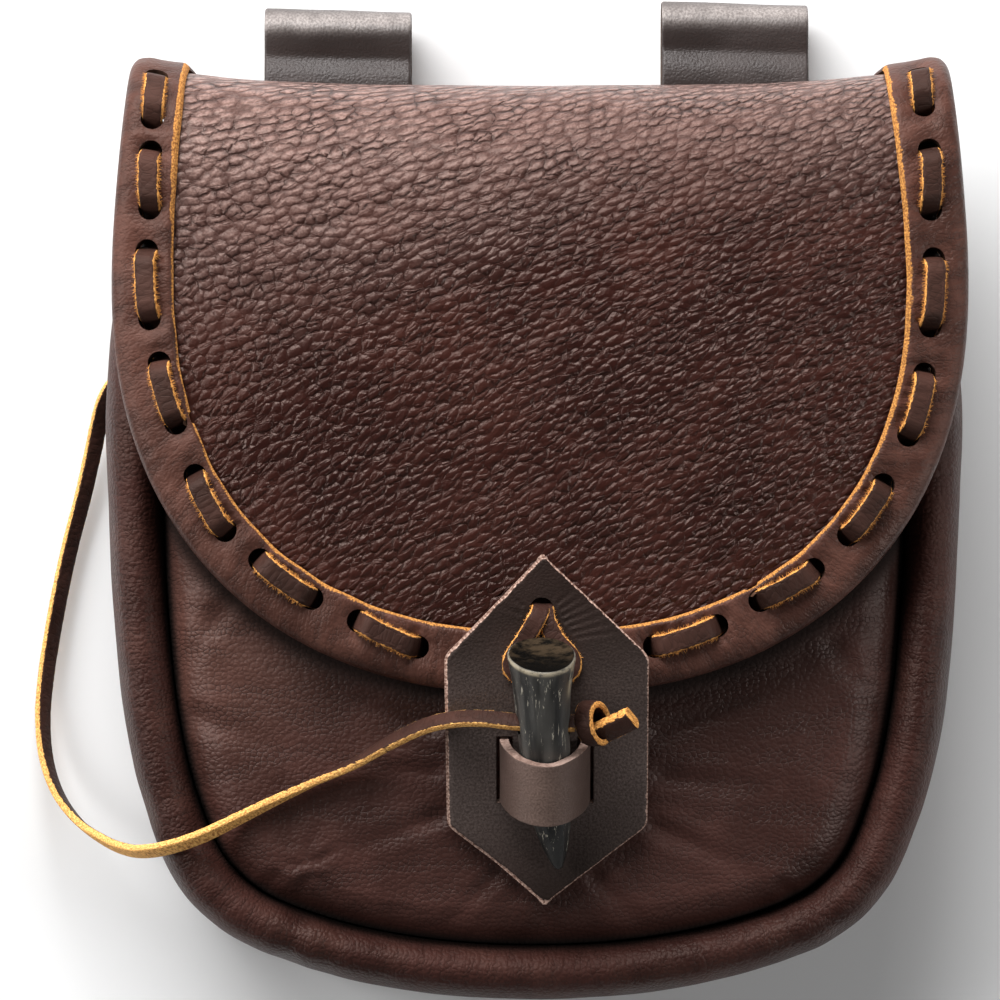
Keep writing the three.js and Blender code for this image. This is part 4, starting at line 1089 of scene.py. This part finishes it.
def slotCutter():
    made = []
    lean = np.array([0, -math.sin(loop["lean"]), math.cos(loop["lean"])])
    for side in (-1, 1):
        deselectAll()
        x = loop["x"] + side * (loop["outer"] - loop["strap"] / 2)
        spot = np.array([x, loop["y"], loop["z"]]) - lean * loop["slotLow"]
        bpy.ops.mesh.primitive_cube_add(size=1, location=spot * mm, rotation=(loop["lean"], 0, 0))
        bpy.context.object.scale = ((loop["strap"] + 2 * loop["clear"]) * mm,
                                    (loop["high"] + 2 * loop["clear"]) * mm, loop["slot"] * mm)
        made.append(bpy.context.object)
    for y in patch["holeY"]:
        deselectAll()
        spot = np.array([patch["holeX"], y, patch["drillZ"]])
        bpy.ops.mesh.primitive_cylinder_add(vertices=24, radius=patch["hole"] * mm, depth=patch["drill"] * mm,
                                            location=spot * mm)
        made.append(bpy.context.object)
    for piece in made:
        choose(piece)
        bpy.ops.object.transform_apply(location=True, rotation=True, scale=True)
    return joined(made, "slot_cutter")


cutter = slotCutter()
dress(cutter, paleCut)
punched(patchPiece, cutter)
roundEdges(patchPiece, 0.3)
finished(patchPiece, "closure_patch")

# the patch's own lace: two strands from the upper hole down round the toggle's neck
tie = {
    "wide": 3.7, "thick": 1.3, "lift": 2.1, "steps": 90, "fibres": 150,  # then places from the hole, and rise
    "left": [(-0.1, -21.6, -2.2), (-0.3, -22.6, 0.0), (-1.2, -24.4, 0.9), (-3.4, -28.2, 0.6),
             (-5.6, -31.6, 0.2)],
    "right": [(0.6, -21.6, -2.2), (0.7, -22.6, -0.9), (1.0, -24.4, -0.3), (2.9, -28.2, 0),
              (5.8, -31.6, 0.1)],
    "ends": [(6.0, -33.6, 0.1), (4.2, -35.6, 0), (2.0, -37.0, -0.3), (1.0, -37.8, -1.0),
             (0.8, -38.4, -2.2)],
}
strands = []
for side, name in ((-1, "left"), (1, "right")):
    rows = tie[name] + [(side * x, y, rise) for x, y, rise in tie["ends"]]
    rows = np.array([(patch["holeX"] + x, y, patchHeight(y) + tie["lift"] + rise) for x, y, rise in rows])
    line = walk(smoothLine(rows, 12), np.linspace(0, 1, tie["steps"]))
    ahead = np.gradient(line, axis=0)
    width = unit(stacked(-ahead[:, 1], ahead[:, 0], 0))
    strand, across, up = ribbon("strand", line, width, tie["wide"], tie["thick"], 18, 0.16, side * 2.7)
    fuzz = edgeFibres("strand_fuzz", line, across, up, tie["wide"], tie["fibres"])
    strands += [strand, fuzz]
tiePiece = joined(strands, "patch_tie")
dress(tiePiece, laceSkin)
finished(tiePiece, "patch_lace", 50)


# toggle loop: an arch of strap leather through the patch's slots
def loopPlace(u, v):
    mid = loop["outer"] - loop["strap"] / 2
    legs, arc = loop["legs"], loop["arc"]
    run = u * (2 * legs + arc)
    angle = np.clip((run - legs) / arc, 0, 1) * math.pi
    x = -mid * np.cos(angle)
    h = loop["rise"] * lerp(np.sin(angle), np.sin(angle) ** 2, 0.3) - loop["sink"]
    h -= np.maximum(0, legs - run) + np.maximum(0, run - legs - arc)
    w = (v - 0.5) * loop["high"]
    up = np.array([0, -math.sin(loop["lean"]), math.cos(loop["lean"])])
    along = np.array([0, math.cos(loop["lean"]), math.sin(loop["lean"])])
    at = np.array([loop["x"], loop["y"], loop["z"]]) + h[:, None] * up + w[:, None] * along
    at[:, 0] += x
    at[:, 2] = np.maximum(at[:, 2], loop["foot"])
    return at


loopMiddle = (loop["x"], loop["y"], loop["z"] - 3)
loopPiece, u, v, at = sheet("loop_strap", loop["along"], loop["across"], loopPlace, loopMiddle)
lay(loopPiece, u * loop["length"], v * loop["high"])
rim = smoothStep(0.36, 0.5, np.abs(v - 0.5))
moveTo(loopPiece, at + stacked(0, 0.15 * rim * blotch(at, 2.4, 3.3), 0))
# painted light: the arch's middle is painted paler and its sides stay darker, as light and shade on it
mark(loopPiece, "wearAndPaintedLight", 0.75 * bell(at[:, 0] - loop["x"], 5))
pushOut(loopPiece, 0.1 * blotch(at, 5, 1.1))
loopLook = dict(
    smoothLook, base=(88, 71, 65), dark=(76, 61, 55), light=(128, 107, 98),
    rawDark=(130, 100, 88), rawLight=(196, 164, 148), cell=0.0006, cellHigh=0.00002,
    gloss=(0.4, 0.5), dip=0.08, rowHigh=0.00005, crease=0.0, crackHigh=0.0)
thicken(loopPiece, loop["strap"], leather("loop_leather", loopLook), insideSuede, paleCut, offset=0)
roundEdges(loopPiece, 0.25)
finished(loopPiece, "toggle_loop")


# horn toggle: turned peg, worn to a chisel point, with a cross hole for the tether
horn = {
    "long": 48.3, "x": 1.4, "y": -30.3, "z": 70.8, "tilt": math.radians(25), "shift": 3.4,
    "bore": 2.15, "boreAt": 15.83, "boreLong": 30, "around": 72, "along": 130,
    "profile": [
        (0.9, 0.01), (0.8, 2.4), (0.5, 4.6), (0.1, 6.2), (0.1, 6.6), (0.5, 6.7), (2.6, 6.45), (5.5, 6.05),
        (9.5, 5.7), (15, 5.4), (21, 5.15), (28.4, 4.8), (35.4, 4.15), (41.4, 3.1), (45.9, 1.7), (48, 0.7),
        (48.3, 0.01)],
}
hornLine = smoothLine(horn["profile"])


def hornPlace(u, v):
    row = walk(hornLine, v)
    turn = u * 2 * math.pi
    along, radius = row[:, 0], row[:, 1]
    wobble = 1 + 0.03 * np.sin(2 * turn + along * 0.06) + 0.02 * np.sin(3 * turn + 1.1)
    share = along / horn["long"]
    x = radius * wobble * np.sin(turn) + horn["shift"] * share ** 2
    thin = lerp(1.0, 0.72, smoothStep(0.72, 1.0, share))
    h = radius * wobble * np.cos(turn) * thin
    along = along + 0.1 * (h + 6) * fade(0.02, 0.2, share)  # the head is cut a little aslant
    c, s = math.cos(horn["tilt"]), math.sin(horn["tilt"])
    return stacked(horn["x"] + x, horn["y"] - along * c - h * s, horn["z"] - along * s + h * c)


hornPiece, u, v, at = sheet("horn_peg", horn["around"], horn["along"], hornPlace, None)
row = walk(hornLine, v)
hornTurn, skinRun = u * 2 * math.pi, v * runOf(hornLine)[-1]
grooves = blotch(stacked(np.sin(hornTurn) * 3, np.cos(hornTurn) * 3, v * 1.6))
mark(hornPiece, "head", fade(6.25, 6.7, skinRun))
# painted highlight: a thin pale line round the front of the rim below the head
pale = bell(skinRun - 7.15, 0.35) * smoothStep(-0.4, 0.3, np.cos(hornTurn))
chips = bell(hornTurn - 1.15, 0.16) * fade(6, 10, row[:, 0]) * smoothStep(0.2, 0.8, row[:, 0])
mark(hornPiece, "rimmed", np.maximum(pale, 0.9 * chips * smoothStep(-0.3, 0.2, blotch(at, 2.2, 1.5))))
rough = 0.16 * grooves * smoothStep(1, 4, row[:, 0]) + 0.05 * blotch(at, 1.5, 2.0)
pushOut(hornPiece, rough * fade(40, 46, row[:, 0]))
weld(hornPiece)


def hornMaterial():
    material, shader = newMaterial("polished_horn")
    place = put("TexCoord")["Object"]
    turned = put("Mapping", {"Vector": place, "Rotation": (-horn["tilt"], 0, 0)})[0]
    drawn = put("Mapping", {"Vector": turned, "Scale": (1, 0.13, 1)})[0]
    streak = speckle(drawn, 1300.0, 5.0, 0.75)
    mottle = speckle(place, 420.0, 5.0, 0.7)
    broad = spread(speckle(drawn, 240.0, 3.0), 0.38, 0.66)
    colour = blend(broad, toLinear(32, 31, 30), toLinear(88, 86, 82))
    point = spread(alongY(place), -0.070, -0.060, 0.85, 0.0)
    colour = blend(point, colour, toLinear(10, 10, 9))  # dark towards the point
    colour = blend(spread(streak, 0.59, 0.66, 0.0, 0.9), colour, toLinear(204, 196, 178))
    # pale in the chips, which are wear, and along the head's rim, a painted highlight
    chipsAndPaintedRim = times(marked("rimmed"), spread(mottle, 0.3, 0.5))
    colour = blend(chipsAndPaintedRim, colour, toLinear(186, 172, 146))
    rough = spread(streak, 0.3, 0.75, 0.34, 0.6)
    bump = put("Bump", {"Strength": 0.7, "Distance": 0.00012, "Height": streak})[0]
    bump = put("Bump", {"Strength": 0.4, "Distance": 0.0001, "Height": mottle, "Normal": bump})[0]
    feed(shader, {"Base Color": colour, "Roughness": rough, "Specular IOR Level": 0.4, "Normal": bump})
    return material


def hornCutMaterial():
    material, shader = newMaterial("horn_cut")
    place = put("TexCoord")["Object"]
    drawn = put("Mapping", {"Vector": place, "Scale": (0.5, 1, 1)})[0]
    mottle = speckle(drawn, 420.0, 5.0, 0.7)
    fine = speckle(place, 2200.0, 3.0)
    outOfShade = spread(alongY(place), -0.0335, -0.0295)
    pale = times(spread(mottle, 0.4, 0.62), outOfShade)  # painted shade: black towards the front of the cut face, where it lies in shade
    colour = blend(pale, toLinear(5, 4, 3), toLinear(56, 45, 33))
    colour = blend(spread(fine, 0.55, 0.7, 0.0, 0.2), colour, toLinear(40, 31, 22))
    bump = put("Bump", {"Strength": 0.8, "Distance": 0.00015, "Height": sums(mottle, fine)})[0]
    feed(shader, {"Base Color": colour, "Roughness": 0.7, "Specular IOR Level": 0.08, "Normal": bump})
    return material


dress(hornPiece, hornMaterial(), hornCutMaterial())
for face in hornPiece.data.polygons:
    headPoints = [hornPiece.data.attributes["head"].data[i].value for i in face.vertices]
    face.material_index = int(sum(headPoints) / len(headPoints) > 0.5)
deselectAll()
boreSpot = (horn["x"] * mm, (horn["y"] - horn["boreAt"] * math.cos(horn["tilt"])) * mm,
            (horn["z"] - horn["boreAt"] * math.sin(horn["tilt"])) * mm)
bpy.ops.mesh.primitive_cylinder_add(vertices=28, radius=horn["bore"] * mm, depth=horn["boreLong"] * mm,
                                    location=boreSpot, rotation=(0, math.pi / 2, 0))
punched(hornPiece, bpy.context.object)
finished(hornPiece, "horn_toggle", 60)


# belt loops: straps folded over above the pouch
belt = {
    "tall": 101.4, "wide": 30, "strap": 2.2, "along": 190, "across": 34,
    "loops": [("belt_loop_left", -40, 100.0), ("belt_loop_right", 41.2, 101.4)],
    "path": [
        (55, 9.4), (70, 9.4), (78, 10.5), (83.5, 11.7), (87.5, 11.2), (91.2, 9.8), (94.2, 10.3),
        (97.2, 10.6), (99.5, 8.8), (100.3, 6), (99.5, 3.4), (97.3, 1.6), (94, 1.1), (38, 1.1), (33, 1.9),
        (27, 6.4), (23, 8.9), (19, 9.4), (9, 9.4)],
}
beltLine = smoothLine(belt["path"])
# light is the colour of the painted highlight on the fold
beltLook = dict(
    smoothLook, base=(62, 54, 52), dark=(48, 41, 39), light=(206, 196, 191),
    creviceShade=(30, 25, 24), cell=0.0006, cellHigh=0.00003, crease=0.0, crackHigh=0.0, gloss=(0.36, 0.46),
    dip=0.15, rowHigh=0.00009, dustHigh=0.00007, specular=0.55, sheen=(1, 0.97, 0.97, 1))
beltSkin = leather("belt_loop_leather", beltLook)
darkCut = fleshSide("dark_cut_edge", (92, 76, 68), (52, 42, 38))


def beltPlace(u, v, middle, top):
    row = walk(beltLine, u)
    y = row[:, 0] + (top - belt["tall"] - 0.9 * (v - 0.5)) * smoothStep(60, 92, row[:, 0])
    return stacked(middle + (v - 0.5) * belt["wide"], y, row[:, 1])


for name, middle, top in belt["loops"]:
    strap, u, v, at = sheet(name + "_strap", belt["along"], belt["across"], beltPlace, (middle, 66, 6),
                            middle, top)
    lay(strap, v * belt["wide"] + middle, u * runOf(beltLine)[-1])
    pushOut(strap, 0.12 * blotch(at, 9, middle) * smoothStep(80, 95, at[:, 1]))
    sheenRidge = bell(at[:, 1] - top + 3.0, 1.5) * smoothStep(4, 9, at[:, 2])  # painted highlight along the fold's ridge
    mark(strap, "wearAndPaintedLight", sheenRidge * (0.48 + 0.2 * blotch(at, 3, middle)))
    thicken(strap, belt["strap"], beltSkin, beltSkin, darkCut, offset=0)
    roundEdges(strap, 0.5, 3)
    settle(strap)
    finished(strap, name)
